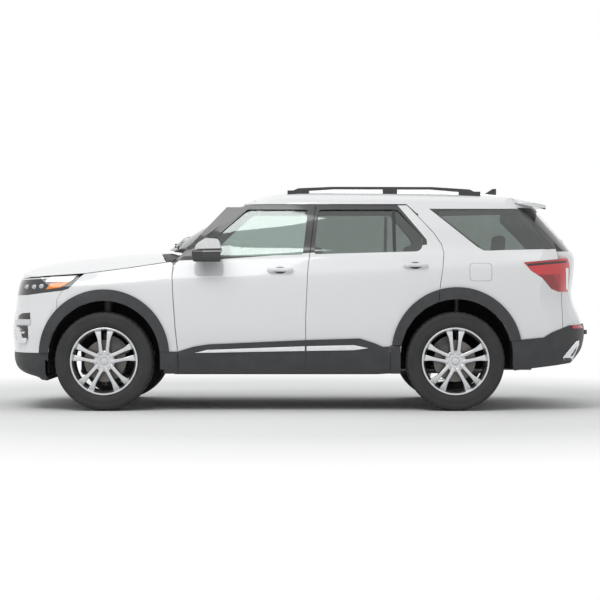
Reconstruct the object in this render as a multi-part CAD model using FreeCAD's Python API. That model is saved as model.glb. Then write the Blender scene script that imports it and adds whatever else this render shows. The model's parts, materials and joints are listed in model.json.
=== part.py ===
import FreeCAD, Part
import math
import os
from FreeCAD import Vector

os.makedirs("parts", exist_ok=True)

# Driving dimensions in millimetres. Front is -X, rear is +X, the left side is -Y, up is +Z.
bodyLength = 4860.0
frontOverhang = 835.0
wheelbase = 2852.0
tyreRadius = 402.0
tyreWidth = 255.0
rimRadius = 268.0
track = 1700.0
bodyWidth = 1968.0
roofHeight = 1820.0
sillHeight = 336.0
archRadius = 456.0
flareWidth = 74.0
flareProud = 17.0
panelGap = 5.0
skinThickness = 26.0
doorThickness = 118.0
wallThickness = 90.0
roofThickness = 45.0
hoodThickness = 42.0
glassThickness = 5.0
claddingThickness = 12.0
wheelHouseInner = 488.0
seat = 0.3
cladSeat = 0.9

# Places worked out from the driving dimensions.
noseX = -bodyLength / 2
tailX = bodyLength / 2
frontAxleX = noseX + frontOverhang
rearAxleX = frontAxleX + wheelbase
hubZ = tyreRadius
halfWidth = bodyWidth / 2
hubY = track / 2
frontArchZ = hubZ + 35
rearArchX = rearAxleX + 10
rearArchZ = hubZ + 48
kingpinY = hubY - 62
bulkheadX = frontAxleX + 470
floorTop = 358.0
loadFloorTop = 560.0


def blend(stations, x):
    """Smooth value between (x, value) stations, flat outside them."""
    if x <= stations[0][0]:
        return stations[0][1]
    for (x0, v0), (x1, v1) in zip(stations, stations[1:]):
        if x <= x1:
            share = (x - x0) / (x1 - x0)
            return v0 + (v1 - v0) * share
    return stations[-1][1]


def roundedFace(points, radii, place):
    """Flat face with rounded corners, from (u, v) points set in space by a function."""
    ring = [place(u, v) for u, v in points]
    count = len(ring)
    corners = []
    for i in range(count):
        radius = radii[i] if isinstance(radii, (list, tuple)) else radii
        back = ring[i - 1] - ring[i]
        ahead = ring[(i + 1) % count] - ring[i]
        turn = back.getAngle(ahead)
        reach = min(radius / math.tan(turn / 2), 0.48 * back.Length, 0.48 * ahead.Length)
        if reach < 0.5:
            corners.append((ring[i], None, ring[i]))
            continue
        first = ring[i] + back.normalize() * reach
        last = ring[i] + ahead.normalize() * reach
        bisector = (back + ahead).normalize()
        centre = ring[i] + bisector * (reach / math.cos(turn / 2))
        corners.append((first, centre - bisector * (reach * math.tan(turn / 2)), last))
    edges = []
    for i in range(count):
        first, middle, last = corners[i]
        if middle is not None:
            edges.append(Part.Arc(first, middle, last).toShape())
        following = corners[(i + 1) % count][0]
        if (following - last).Length > 0.01:
            edges.append(Part.LineSegment(last, following).toShape())
    return Part.Face(Part.Wire(edges))


def outlineXZ(points, radii=0, yFrom=-1200.0, yTo=0.0):
    """Prism across the car from an outline in the side view, given as (x, z)."""
    face = roundedFace(points, radii, lambda x, z: Vector(x, yFrom, z))
    return face.extrude(Vector(0, yTo - yFrom, 0))


def outlineYZ(points, radii, xFrom, xTo):
    """Prism along the car from an outline in the front view, given as (y, z)."""
    face = roundedFace(points, radii, lambda y, z: Vector(xFrom, y, z))
    return face.extrude(Vector(xTo - xFrom, 0, 0))


def outlineXY(points, radii, zFrom, zTo):
    """Upright prism from an outline in the plan view, given as (x, y)."""
    face = roundedFace(points, radii, lambda x, y: Vector(x, y, zFrom))
    return face.extrude(Vector(0, 0, zTo - zFrom))


def mirrored(shape):
    """The same piece on the right side."""
    return shape.mirror(Vector(0, 0, 0), Vector(0, 1, 0))


def both(shape):
    """Left and right copies as separate solids."""
    solids = shape.Solids + mirrored(shape).Solids
    return Part.makeCompound(solids)


def box(x0, x1, y0, y1, z0, z1):
    """Block between two corners."""
    return Part.makeBox(x1 - x0, y1 - y0, z1 - z0, Vector(x0, y0, z0))


def barY(radius, x, z, y0, y1):
    """Round bar across the car."""
    return Part.makeCylinder(radius, y1 - y0, Vector(x, y0, z), Vector(0, 1, 0))


def rod(a, b, radius):
    """Round bar between two points."""
    start = Vector(*a)
    way = Vector(*b) - start
    return Part.makeCylinder(radius, way.Length, start, way)


def largest(shape, least=2000.0):
    """The solids of a cut that are not slivers."""
    keep = [s for s in shape.Solids if s.Volume > least]
    return keep[0] if len(keep) == 1 else Part.makeCompound(keep)


def smooth(stations, x):
    """Smooth curve through (x, value) stations, straight outside them."""
    count = len(stations)
    slopes = []
    for i in range(count):
        a = stations[max(i - 1, 0)]
        b = stations[min(i + 1, count - 1)]
        slopes.append((b[1] - a[1]) / (b[0] - a[0]))
    if x <= stations[0][0]:
        return stations[0][1] + slopes[0] * (x - stations[0][0])
    if x >= stations[-1][0]:
        return stations[-1][1] + slopes[-1] * (x - stations[-1][0])
    for i in range(count - 1):
        x0, v0 = stations[i]
        x1, v1 = stations[i + 1]
        if x <= x1:
            span = x1 - x0
            s = (x - x0) / span
            return (
                v0 * (1 + 2 * s) * (1 - s) ** 2
                + slopes[i] * span * s * (1 - s) ** 2
                + v1 * s * s * (3 - 2 * s)
                + slopes[i + 1] * span * s * s * (s - 1)
            )


# How far the side comes in from the full width along the car.
planTaper = [
    (noseX - 20, 118), (noseX + 90, 78), (noseX + 240, 42), (noseX + 450, 20), (noseX + 750, 7),
    (noseX + 1250, 1), (noseX + 2430, -1), (tailX - 1430, 1), (tailX - 930, 7), (tailX - 530, 24),
    (tailX - 280, 48), (tailX - 130, 72), (tailX + 20, 104),
]
# Height of the belt line, which is the hood's shut-line at the front.
beltLine = [
    (noseX - 20, 1010), (noseX + 80, 1050), (noseX + 235, 1083), (noseX + 670, 1112), (noseX + 1030, 1158),
    (noseX + 1353, 1206), (noseX + 1790, 1232), (noseX + 2520, 1252), (noseX + 3530, 1281), (tailX, 1286),
]
# Height of the upper crease in the side.
creaseLine = [(noseX, 965), (noseX + 1290, 1035), (noseX + 3100, 1125), (tailX - 495, 1185), (tailX, 1200)]
# Centre profile of the hood.
hoodLine = [
    (noseX - 20, 1020), (noseX + 72, 1100), (noseX + 141, 1149), (noseX + 211, 1178), (noseX + 349, 1210),
    (noseX + 556, 1239), (noseX + 764, 1262), (noseX + 971, 1281), (noseX + 1256, 1298), (noseX + 1600, 1312),
]
# Centre profile of the windshield, roof and spoiler.
topLine = [
    (noseX + 1080, 1196), (noseX + 1256, 1300), (noseX + 1593, 1508), (noseX + 1870, 1672), (noseX + 2008, 1740),
    (noseX + 2146, 1787), (noseX + 2284, 1812), (noseX + 2530, roofHeight), (noseX + 3030, roofHeight + 1),
    (noseX + 3630, roofHeight - 6), (noseX + 4150, roofHeight - 29), (noseX + 4358, 1751), (noseX + 4560, 1708),
    (noseX + 4860, 1640),
]
# Height of the roof edge beside the crown.
roofEdgeLine = [
    (noseX, 0), (noseX + 2400, 0), (noseX + 3300, -4), (noseX + 4150, -30), (noseX + 4560, -75), (tailX, -110),
]
# Centre line of the nose, by height.
noseLine = [
    (200, 230), (266, 140), (316, 66), (365, 22), (450, 8), (547, 1), (650, 1), (760, 6), (814, 18), (863, 24),
    (913, 29), (963, 36), (1013, 46), (1063, 62), (1113, 84), (1200, 140), (1350, 260),
]
# Centre line of the tail, by height.
tailLine = [
    (200, 150), (415, 92), (515, 62), (615, 46), (714, 54), (764, 78), (864, 122), (963, 138), (1063, 126),
    (1162, 114), (1262, 112), (1350, 172), (1437, 240), (1506, 298), (1640, 408), (1722, 476), (1850, 580),
]


def plan(x):
    """Half width of the body at a place along the car."""
    return halfWidth - smooth(planTaper, x)


def insetRing(points, inset):
    """Points of a section moved towards its inside, given from sill to middle with y falling."""
    if inset == 0:
        return points
    moved = []
    count = len(points)
    for i in range(count):
        a = points[max(i - 1, 0)]
        b = points[min(i + 1, count - 1)]
        dy = b[0] - a[0]
        dz = b[1] - a[1]
        size = math.hypot(dy, dz)
        moved.append((points[i][0] - inset * dz / size, points[i][1] + inset * dy / size))
    return moved


def lowerSide(x):
    """Points of the side below the belt, as (y, z) from the sill up."""
    half = plan(x)
    crease = smooth(creaseLine, x)
    belt = smooth(beltLine, x)
    return [
        (half - 74, 230), (half - 40, 340), (half - 20, 450), (half - 13, 545), (half - 3, 640),
        (half, 760), (half - 2, 890), (half - 12, crease - 30), (half - 19, crease + 8),
        (half - 50, 0.55 * crease + 0.45 * belt + 12), (half - 86, belt),
    ]


def hoodSection(x):
    """Side and hood crown of the front of the body."""
    points = lowerSide(x)
    edge, belt = points[-1]
    rise = smooth(hoodLine, x) - belt
    for share in (0.90, 0.78, 0.62, 0.42, 0.2):
        points.append((edge * share, belt + rise * (1 - share ** 2.5)))
    return points, smooth(hoodLine, x)


def cabinSection(x):
    """Side, tumblehome and roof roll of the cabin."""
    points = lowerSide(x)
    edge, belt = points[-1]
    drop = smooth(roofEdgeLine, x)
    narrow = 0.45 * (halfWidth - plan(x))
    top = roofHeight - 139 + drop
    points.append((edge - 17, belt + 24))
    points.append((0.5 * (edge - 17 + 706 - narrow) + 9, 0.5 * (belt + 24 + top)))
    points.append((706 - narrow, top))
    for y, up in ((684, 45), (652, 80), (604, 106), (540, 122), (430, 135), (240, 150)):
        points.append((y - narrow, top + up))
    return points, top + 156


def curveThrough(points, shares):
    """Spline edge through points at given shares of its length."""
    curve = Part.BSplineCurve()
    curve.interpolate(Points=points, Parameters=shares)
    return curve.toShape()


def commonShares(rows):
    """The mean share of the length at each point of several like sections."""
    count = len(rows[0])
    total = [0.0] * count
    for row in rows:
        steps = [0.0]
        for a, b in zip(row, row[1:]):
            steps.append(steps[-1] + (b - a).Length)
        total = [t + s / steps[-1] / len(rows) for t, s in zip(total, steps)]
    return [t / total[-1] for t in total]


def ringPoints(x, section, inset):
    """Points of the symmetric section of the body at a place along the car."""
    points, middle = section(x)
    points = insetRing(points, inset)
    left = [Vector(x, -y, z) for y, z in points]
    right = [Vector(x, y, z) for y, z in reversed(points)]
    return left + [Vector(x, 0, middle - inset)] + right


def closedLoft(rows):
    """Solid through like open rows of points, each closed by a straight line."""
    shares = commonShares(rows)
    wires = []
    for row in rows:
        wires.append(Part.Wire([curveThrough(row, shares), Part.LineSegment(row[-1], row[0]).toShape()]))
    return Part.makeLoft(wires, True, False)


def openLoft(rows):
    """Surface through like rows of points."""
    shares = commonShares(rows)
    return Part.makeLoft([Part.Wire([curveThrough(row, shares)]) for row in rows], False, False)


def wallLoft(outerRows, innerRows):
    """Wall between two sets of like rows of points."""
    outerShares = commonShares(outerRows)
    innerRows = [row[::-1] for row in innerRows]
    innerShares = commonShares(innerRows)
    wires = []
    for a, b in zip(outerRows, innerRows):
        sides = [curveThrough(a, outerShares), Part.LineSegment(a[-1], b[0]).toShape()]
        sides += [curveThrough(b, innerShares), Part.LineSegment(b[-1], a[0]).toShape()]
        wires.append(Part.Wire(sides))
    return Part.makeLoft(wires, True, False)


def lengthwise(section, places, inset):
    """Solid through sections along the car."""
    return closedLoft([ringPoints(x, section, inset) for x in places])


def lengthwiseWall(section, places, outer, inner):
    """Wall of the body between two depths, open at the bottom."""
    outerRows = [ringPoints(x, section, outer) for x in places]
    return wallLoft(outerRows, [ringPoints(x, section, inner) for x in places])


hoodPlaces = [noseX + v for v in (-20, 60, 150, 260, 420, 640, 900, 1150, 1400, 1700, 2300)]
cabinPlaces = [noseX + v for v in (900, 1150, 1400, 1700, 2300, 2900, 3500, 3950, 4300, 4600, 4740, 4880)]
sidePlaces = hoodPlaces[:6] + cabinPlaces


def topForm(inset):
    """Everything below the windshield, roof and spoiler surface."""
    rows = []
    for i in range(25):
        x = noseX + 1000 + 161.25 * i
        row = []
        for j in range(-4, 5):
            y = j * 250.0
            sag = blend([(noseX + 1000, 225.0), (noseX + 1900, 100.0), (noseX + 2600, 10.0), (tailX, 0.0)], x)
            crown = blend([(noseX + 1500, 0.0), (noseX + 2300, 36.0), (tailX, 40.0)], x)
            share = (y / 700.0) ** 2
            place = x - sag * share
            slope = (smooth(topLine, place + 5) - smooth(topLine, place - 5)) / 10
            lift = inset * math.hypot(1, slope)
            row.append(Vector(x, y, smooth(topLine, place) - crown * (y / 600.0) ** 2 - lift))
        rows.append(row)
    return openLoft(rows).extrude(Vector(0, 0, -1900)).Solids[0]


# How far the nose and the tail sweep back, by share of the half width.
noseSweep = [(0, 0), (0.3, 10), (0.6, 46), (0.75, 92), (0.86, 165), (0.94, 285), (1.01, 470), (1.12, 900)]


def planRow(z, x0, way, edge, inset):
    """Points of a plan section of the nose or the tail."""
    points = [(share * edge, x0 + way * (back + inset)) for share, back in noseSweep]
    left = [Vector(x, -y, z) for y, x in reversed(points)]
    return left + [Vector(x, y, z) for y, x in points[1:]]


def noseForm(inset):
    """Everything behind the nose."""
    rows = []
    for z in (200, 290, 365, 450, 600, 740, 830, 930, 1030, 1120, 1220, 1340):
        edge = halfWidth * blend([(200, 0.99), (700, 1.0), (900, 0.99), (1340, 0.95)], z)
        rows.append(planRow(z, noseX + smooth(noseLine, z), 1, edge, inset))
    return openLoft(rows).extrude(Vector(1500, 0, 0)).Solids[0]


def tailForm(inset):
    """Everything before the tail."""
    rows = []
    for z in (200, 320, 440, 550, 650, 750, 860, 970, 1080, 1180, 1270, 1350, 1430, 1510, 1590, 1670, 1750, 1830, 1910):
        edge = blend([(200, 1.0), (1150, 1.0), (1262, 0.93), (1681, 0.74), (1850, 0.66)], z) * halfWidth
        rows.append(planRow(z, tailX - smooth(tailLine, z), -1, edge, inset))
    return openLoft(rows).extrude(Vector(-1500, 0, 0)).Solids[0]


def shrunk(points, gap):
    """An outline moved inwards by a gap, corner by corner."""
    area = sum(a[0] * b[1] - b[0] * a[1] for a, b in zip(points, points[1:] + points[:1]))
    turn = 1 if area > 0 else -1
    count = len(points)
    moved = []
    for i in range(count):
        lines = []
        for a, b in ((points[i - 1], points[i]), (points[i], points[(i + 1) % count])):
            dx = b[0] - a[0]
            dz = b[1] - a[1]
            size = math.hypot(dx, dz)
            nx = -dz / size * turn
            nz = dx / size * turn
            lines.append((nx, nz, nx * a[0] + nz * a[1] + gap))
        (a1, b1, c1), (a2, b2, c2) = lines
        det = a1 * b2 - a2 * b1
        if abs(det) < 0.02:
            moved.append((points[i][0] + a1 * gap, points[i][1] + b1 * gap))
        else:
            moved.append(((c1 * b2 - c2 * b1) / det, (a1 * c2 - a2 * c1) / det))
    return moved


def sideRows(inset):
    """Points of the left side at a depth, from the sill to the foot of the roof."""
    rows = []
    for x in sidePlaces:
        rows.append([Vector(x, -y, z) for y, z in insetRing(cabinSection(x)[0][:15], inset)])
    return rows


def sideShell(outer, inner):
    """Wall of the left side between two depths."""
    return wallLoft(sideRows(outer), sideRows(inner))


# Outlines in the side view, as (x, z), which the panels share.
doorFrontX = frontAxleX + 553
bodySplitX = frontAxleX + 1636
doorRearX = rearAxleX - 136
doorTop = 1684
frontDoorLine = [
    (frontAxleX + 612, sillHeight), (frontAxleX + 600, 480), (frontAxleX + 579, 690),
    (frontAxleX + 561, 950), (doorFrontX, 1110), (frontAxleX + 573, 1196), (frontAxleX + 640, 1258),
    (frontAxleX + 1140, doorTop), (bodySplitX + 84, doorTop), (bodySplitX + 18, 1150),
    (bodySplitX, 760), (bodySplitX, sillHeight),
]
archFoot = (rearArchX - archRadius - 86, 530)
archSteps = [math.radians(a) for a in (168, 153, 138, 124, 109)]
archLine = [(rearArchX + (archRadius + 1) * math.cos(a), rearArchZ + (archRadius + 1) * math.sin(a)) for a in archSteps]
rearDoorLine = (
    [(bodySplitX, sillHeight), (bodySplitX, 760), (bodySplitX + 18, 1150), (bodySplitX + 84, doorTop)]
    + [(rearAxleX - 379, doorTop - 4), (rearAxleX - 269, 1560), (rearAxleX - 167, 1448), (rearAxleX - 106, 1352)]
    + [(rearAxleX - 90, 1285), (rearAxleX - 103, 1160), (rearAxleX - 123, 1036)]
    + archLine[::-1]
    + [(archLine[0][0], archFoot[1]), archFoot, (archFoot[0], sillHeight)]
)
frontPanLine = [
    (frontAxleX + 668, 392), (frontAxleX + 640, 690), (frontAxleX + 606, 1105), (frontAxleX + 640, 1240),
    (bodySplitX - 30, 1262), (bodySplitX - 46, 760), (bodySplitX - 46, 392),
]
rearPanLine = [
    (bodySplitX + 46, 392), (bodySplitX + 46, 760), (bodySplitX + 66, 1264), (doorRearX - 30, 1288),
    (doorRearX - 44, 1160), (doorRearX - 62, 1046), (rearArchX - 420, 900), (rearArchX - 574, 640),
    (rearArchX - 606, 392),
]
frontWindowLine = [
    (frontAxleX + 752, 1246), (frontAxleX + 800, 1322), (frontAxleX + 1158, 1645), (bodySplitX + 20, 1645),
    (bodySplitX - 24, 1268),
]
rearWindowLine = [
    (bodySplitX + 68, 1272), (bodySplitX + 112, 1645), (rearAxleX - 462, 1645), (rearAxleX - 262, 1420),
    (rearAxleX - 262, 1296),
]
windowRadii = {"front": [40, 120, 36, 20, 20], "rear": [20, 20, 46, 110, 60]}


def doorPanel(outline, pan, window, radii):
    """Door with its outer skin, inner pan, window frame and window opening."""
    skin = outlineXZ(shrunk(outline, panelGap / 2)).common(sideShell(0, skinThickness))
    upper = outlineXZ(shrunk(outline, panelGap / 2 + 12))
    upper = upper.common(box(noseX, tailX, -1200, 0, 1232, 1800)).common(sideShell(10, 46))
    inner = outlineXZ(pan, 30).common(sideShell(12, doorThickness))
    door = skin.fuse([upper, inner])
    return door.cut(outlineXZ(window, radii)).removeSplitter()


def paneOf(window, radii):
    """Window glass seated in its opening."""
    return outlineXZ(shrunk(window, 0.4), radii).common(sideShell(14, 14 + glassThickness))


def frontShell(front, side):
    """Walls of the nose and front sides at their own thicknesses."""
    whole = lengthwise(hoodSection, hoodPlaces, 0).common(noseForm(0))
    hollow = lengthwise(hoodSection, hoodPlaces, side).common(noseForm(front))
    return whole.cut(hollow)


# Walls that the panels are cut from.
frontWall = frontShell(70, 30)
lampWall = frontShell(120, 100)
trimWall = frontShell(40, 24)
tailInner = tailForm(84)
wide = 1200.0


def hoodPrism(gap):
    """Region of the hood above its side shut-line."""
    line = [(noseX - 60, 1040), (noseX + 120, 1066), (noseX + 235, 1083), (noseX + 670, 1112)]
    line += [(noseX + 1030, 1158), (noseX + 1330, 1203)]
    lower = [(x, z + gap) for x, z in line]
    return outlineXZ(lower + [(noseX + 1420, 1206 + gap), (noseX + 1420, 1500), (noseX - 60, 1500)], 0, -wide, wide)


def cowlRegion(gap):
    """Region behind the curved rear edge of the hood."""
    edge = noseX + 1236 + gap
    points = [Vector(edge + 150, -wide, 900), Vector(edge + 62, -640, 900), Vector(edge, 0, 900)]
    points += [Vector(edge + 62, 640, 900), Vector(edge + 150, wide, 900)]
    curve = Part.BSplineCurve()
    curve.interpolate(points)
    back = [Vector(edge + 900, wide, 900), Vector(edge + 900, -wide, 900)]
    lines = [Part.LineSegment(points[-1], back[0]), Part.LineSegment(back[0], back[1])]
    lines.append(Part.LineSegment(back[1], points[0]))
    wire = Part.Wire([curve.toShape()] + [line.toShape() for line in lines])
    return Part.Face(wire).extrude(Vector(0, 0, 700))


def makeHood():
    """Hood panel with a rounded nose, its rear edge curved like the windshield's foot."""
    wall = lengthwiseWall(hoodSection, hoodPlaces, 0, hoodThickness).common(noseForm(3))
    return largest(wall.common(hoodPrism(panelGap)).cut(cowlRegion(-panelGap)))


archTopFront = (frontAxleX, frontArchZ)
archTopRear = (rearArchX, rearArchZ)


def archCut(centre, radius, y0=-wide, y1=wide):
    """Wheel opening with upright sides below its centre."""
    x, z = centre
    return barY(radius, x, z, y0, y1).fuse(box(x - radius, x + radius, y0, y1, 0, z))


lampLine = [
    (noseX - 60, 934), (noseX + 197, 939), (noseX + 338, 957), (noseX + 497, 976), (noseX + 545, 990),
    (noseX + 582, 1027), (noseX + 652, 1106), (noseX + 235, 1079), (noseX - 60, 1060),
]
bumperSeam = [(noseX + 505, 985), (noseX + 452, 905), (noseX + 452, 200)]
grilleLine = [
    (-600, 1058), (-606, 940), (-560, 850), (-430, 776), (430, 776), (560, 850), (606, 940), (600, 1058),
]


def lampPrism(gap):
    """Space of the left headlamp, whose inner end meets the grille."""
    return outlineXZ(shrunk(lampLine, gap), 18, -wide, -604 - gap)


def grillePrism(gap):
    """Space of the grille between the headlamps."""
    return outlineYZ(shrunk(grilleLine, gap), 30, noseX - 100, noseX + 500)


def makeFender():
    """Left front fender skin."""
    region = outlineXZ([
        (bumperSeam[0][0] + 3, 985), (bumperSeam[1][0] + 3, 905), (bumperSeam[1][0] + 3, 420),
        (frontAxleX + 606, 420), (frontAxleX + 600 - panelGap, 480), (frontAxleX + 579 - panelGap, 690),
        (frontAxleX + 561 - panelGap, 950), (doorFrontX - panelGap, 1110), (frontAxleX + 555, 1196),
        (frontAxleX + 540, 1208), (noseX + 1330, 1203), (noseX + 1030, 1158), (noseX + 670, 1112),
    ])
    region = region.cut(lampPrism(-0.4)).cut(archCut(archTopFront, archRadius)).cut(cladRegion())
    return largest(sideShell(0, 30).common(noseForm(0)).common(region))


def cladRegion():
    """Space below the fender that the sill cladding takes."""
    return box(frontAxleX + 400, frontAxleX + 700, -wide, wide, 200, 482)


def makeFrontBumper():
    """Painted bumper cover with openings for the grille, the vents and the intake."""
    region = outlineXZ([
        (noseX - 100, 470), (noseX + 452, 470), (noseX + 452, 905), (noseX + 505, 985),
        (noseX + 700, 1110), (noseX - 100, 1062),
    ], 0, -wide, wide)
    cover = frontWall.common(region).cut(hoodPrism(0))
    cover = cover.cut(lampPrism(-0.4)).cut(mirrored(lampPrism(-0.4))).cut(grillePrism(-0.4))
    cover = cover.cut(archCut(archTopFront, archRadius))
    cover = cover.cut(archCut(archTopFront, archRadius + 26, -halfWidth + 52, halfWidth - 52))
    for vent in ventPrisms(0):
        cover = cover.cut(vent)
    intake = outlineYZ(intakeLine, 30, noseX - 100, noseX + 400)
    return largest(cover.cut(intake), 4000000)


intakeLine = [(-590, 640), (-540, 440), (540, 440), (590, 640)]
ventLine = [(-885, 676), (-880, 560), (-700, 560), (-690, 676)]


def ventPrisms(gap):
    """Left and right vent openings beside the intake."""
    left = outlineYZ(shrunk(ventLine, gap), 16, noseX - 100, noseX + 420)
    return [left, mirrored(left)]


def makeVents():
    """Dark inserts of the two side vents, with slats across them."""
    pieces = []
    for prism in ventPrisms(0.5):
        plate = trimWall.common(prism)
        slots = []
        for z in (588, 618, 648):
            slots.append(box(noseX - 100, noseX + 420, -wide, wide, z - 7, z + 7).common(prism))
        inset = noseForm(16)
        for slot in slots:
            plate = plate.cut(slot.cut(inset))
        pieces += plate.Solids
    return Part.makeCompound(pieces)


def makeLowerBumper():
    """Unpainted lower bumper with the intake frame and its bars."""
    region = outlineXZ([
        (noseX - 100, 238), (noseX + 500, 238), (noseX + 452, 300), (noseX + 452, 467), (noseX - 100, 467),
    ], 0, -wide, wide)
    lip = frontWall.common(region)
    frame = trimWall.common(outlineYZ(shrunk(intakeLine, 1), 29, noseX - 100, noseX + 400))
    slots = []
    for z in (500, 545, 590):
        slots.append(outlineYZ([(-500, z - 16), (500, z - 16), (500, z + 16), (-500, z + 16)], 12, noseX - 100, noseX + 400))
    for slot in slots:
        frame = frame.cut(slot)
    lip = lip.cut(archCut(archTopFront, archRadius))
    return largest(lip.cut(archCut(archTopFront, archRadius + 26, -halfWidth + 52, halfWidth - 52)).fuse(frame))


def noseAt(y, z, inset):
    """Place of the nose surface at a width and a height."""
    edge = halfWidth * blend([(200, 0.99), (700, 1.0), (900, 0.99), (1340, 0.95)], z)
    return noseX + smooth(noseLine, z) + smooth(noseSweep, abs(y) / edge) + inset


def noseBand(z0, z1, outer, inner):
    """Level band that follows the nose between two depths."""
    edge = halfWidth * 0.99
    rows = []
    for inset in (outer, inner):
        rows.append([planRow(z, noseX + smooth(noseLine, z), 1, edge, inset)[3:-3] for z in (z0, z1)])
    return wallLoft(rows[0], rows[1])


def makeGrille():
    """Grille with its frame, three bright bars and a mesh of upright ribs behind them."""
    frame = trimWall.common(grillePrism(0.4)).cut(grillePrism(26))
    pieces = [noseBand(z - 11, z + 11, 8, 36) for z in (836, 912, 988)]
    for i in range(-9, 10):
        y = i * 60.0
        heights = (780, 860, 950, 1054)
        line = [(noseAt(y, z, 22), z) for z in heights]
        line += [(noseAt(y, z, 38), z) for z in reversed(heights)]
        pieces.append(outlineXZ(line, 0, y - 5, y + 5))
    inner = pieces[0].fuse(pieces[1:]).common(grillePrism(20))
    return largest(frame.fuse(inner), 100000)


def makeHeadlamp():
    """Left headlamp housing with its lens face."""
    return largest(lampWall.common(lampPrism(0.4)).cut(box(noseX - 50, noseX + 500, -605.6, 0, 800, 1200)))


windshieldEdge = [(-800, 1190), (-778, 1268), (-642, 1712), (642, 1712), (778, 1268), (800, 1190)]
windshieldPlan = [
    (1300, 0), (1322, -300), (1384, -560), (1500, -760), (1560, -820), (2170, -820), (2062, -600), (2040, 0),
]


def windshieldSpace(gap):
    """Space of the windshield, bounded by the pillars, the cowl and the roof."""
    plan = [(noseX + x, y) for x, y in windshieldPlan]
    plan += [(x, -y) for x, y in plan[1:-1]][::-1]
    region = outlineYZ(shrunk(windshieldEdge, gap), 0, noseX + 1000, noseX + 2300)
    return region.common(outlineXY(shrunk(plan, gap), 0, 1000, 1900))


def makeWindshield():
    """Windshield pane seated between the pillars."""
    return largest(topForm(3).cut(topForm(3 + glassThickness)).common(windshieldSpace(0.4)))


def makeCowl():
    """Unpainted cowl between the hood's rear edge and the windshield's foot."""
    wall = lengthwiseWall(hoodSection, hoodPlaces, 7, 24)
    line = [(noseX + 1100, 1203), (noseX + 1700, 1215), (noseX + 1700, 1500), (noseX + 1100, 1500)]
    region = cowlRegion(0).common(outlineXZ(line, 0, -860, 860))
    wall = wall.common(region).cut(windshieldSpace(22)).cut(box(noseX + 1590, noseX + 1900, -wide, wide, 1000, 1500))
    wall = wall.cut(sideShell(30, 104)).cut(mirrored(sideShell(30, 104)))
    for side in (-1, 1):
        wall = wall.cut(box(noseX + 1392, noseX + 1466, *sorted((side * 754.6, side * 900)), 1100, 1400))
        wall = wall.cut(box(noseX + 1465, noseX + 1700, *sorted((side * 748, side * 900)), 1100, 1400))
    return largest(wall.cut(topForm(-200).cut(topForm(8.6))), 100000)


# Outlines at the rear, from the side.
quarterGlassLine = [
    (rearAxleX - 172, 1640), (tailX - 640, 1652), (tailX - 352, 1322), (rearAxleX + 245, 1300),
]
tailLampLine = [
    (tailX - 620, 1205), (tailX - 250, 1240), (tailX + 60, 1240), (tailX + 60, 972), (tailX - 330, 966),
    (tailX - 392, 990), (tailX - 470, 1078), (tailX - 560, 1136),
]
tailgateSpan = [
    (-742, 702), (-742, 1000), (-760, 1262), (-640, 1772), (640, 1772), (760, 1262), (742, 1000), (742, 702),
]
bumperTop = [(tailX - 714, 570), (tailX - 459, 595), (tailX - 385, 640), (tailX - 240, 692)]
roofSplitY = 590.0
spoilerX = tailX - 712


def makeRoof():
    """Roof panel between the ditches, from the windshield to the tailgate."""
    wall = topForm(0).cut(topForm(roofThickness)).common(cabinRoofForm)
    half = roofSplitY - seat
    region = outlineXY([
        (noseX + 2040, 0), (noseX + 2062, -half), (spoilerX - panelGap, -half), (spoilerX - panelGap, half),
        (noseX + 2062, half),
    ], 0, 1500, 1900)
    roof = wall.common(region)
    for y in (-330, 300):
        roof = roof.fuse([
            box(spoilerX - 60, spoilerX - 6, y, y + 30, 1706, 1742),
            box(spoilerX - 8, spoilerX + 24, y, y + 30, 1706, 1730),
        ])
    return largest(roof)


cabinRoofForm = lengthwise(cabinSection, cabinPlaces, 0)


def pillarRegion():
    """Space of the pillars above the belt, around the door windows."""
    region = outlineXZ([
        (noseX + 1400, 1212), (frontAxleX + 1030, 1716), (rearAxleX - 330, 1716), (rearAxleX - 60, 1380),
        (rearAxleX - 60, 1212),
    ])
    front = outlineXZ(shrunk(frontWindowLine, -4))
    rear = outlineXZ(shrunk(rearWindowLine, -4))
    return region.cut(front).cut(rear)


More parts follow.
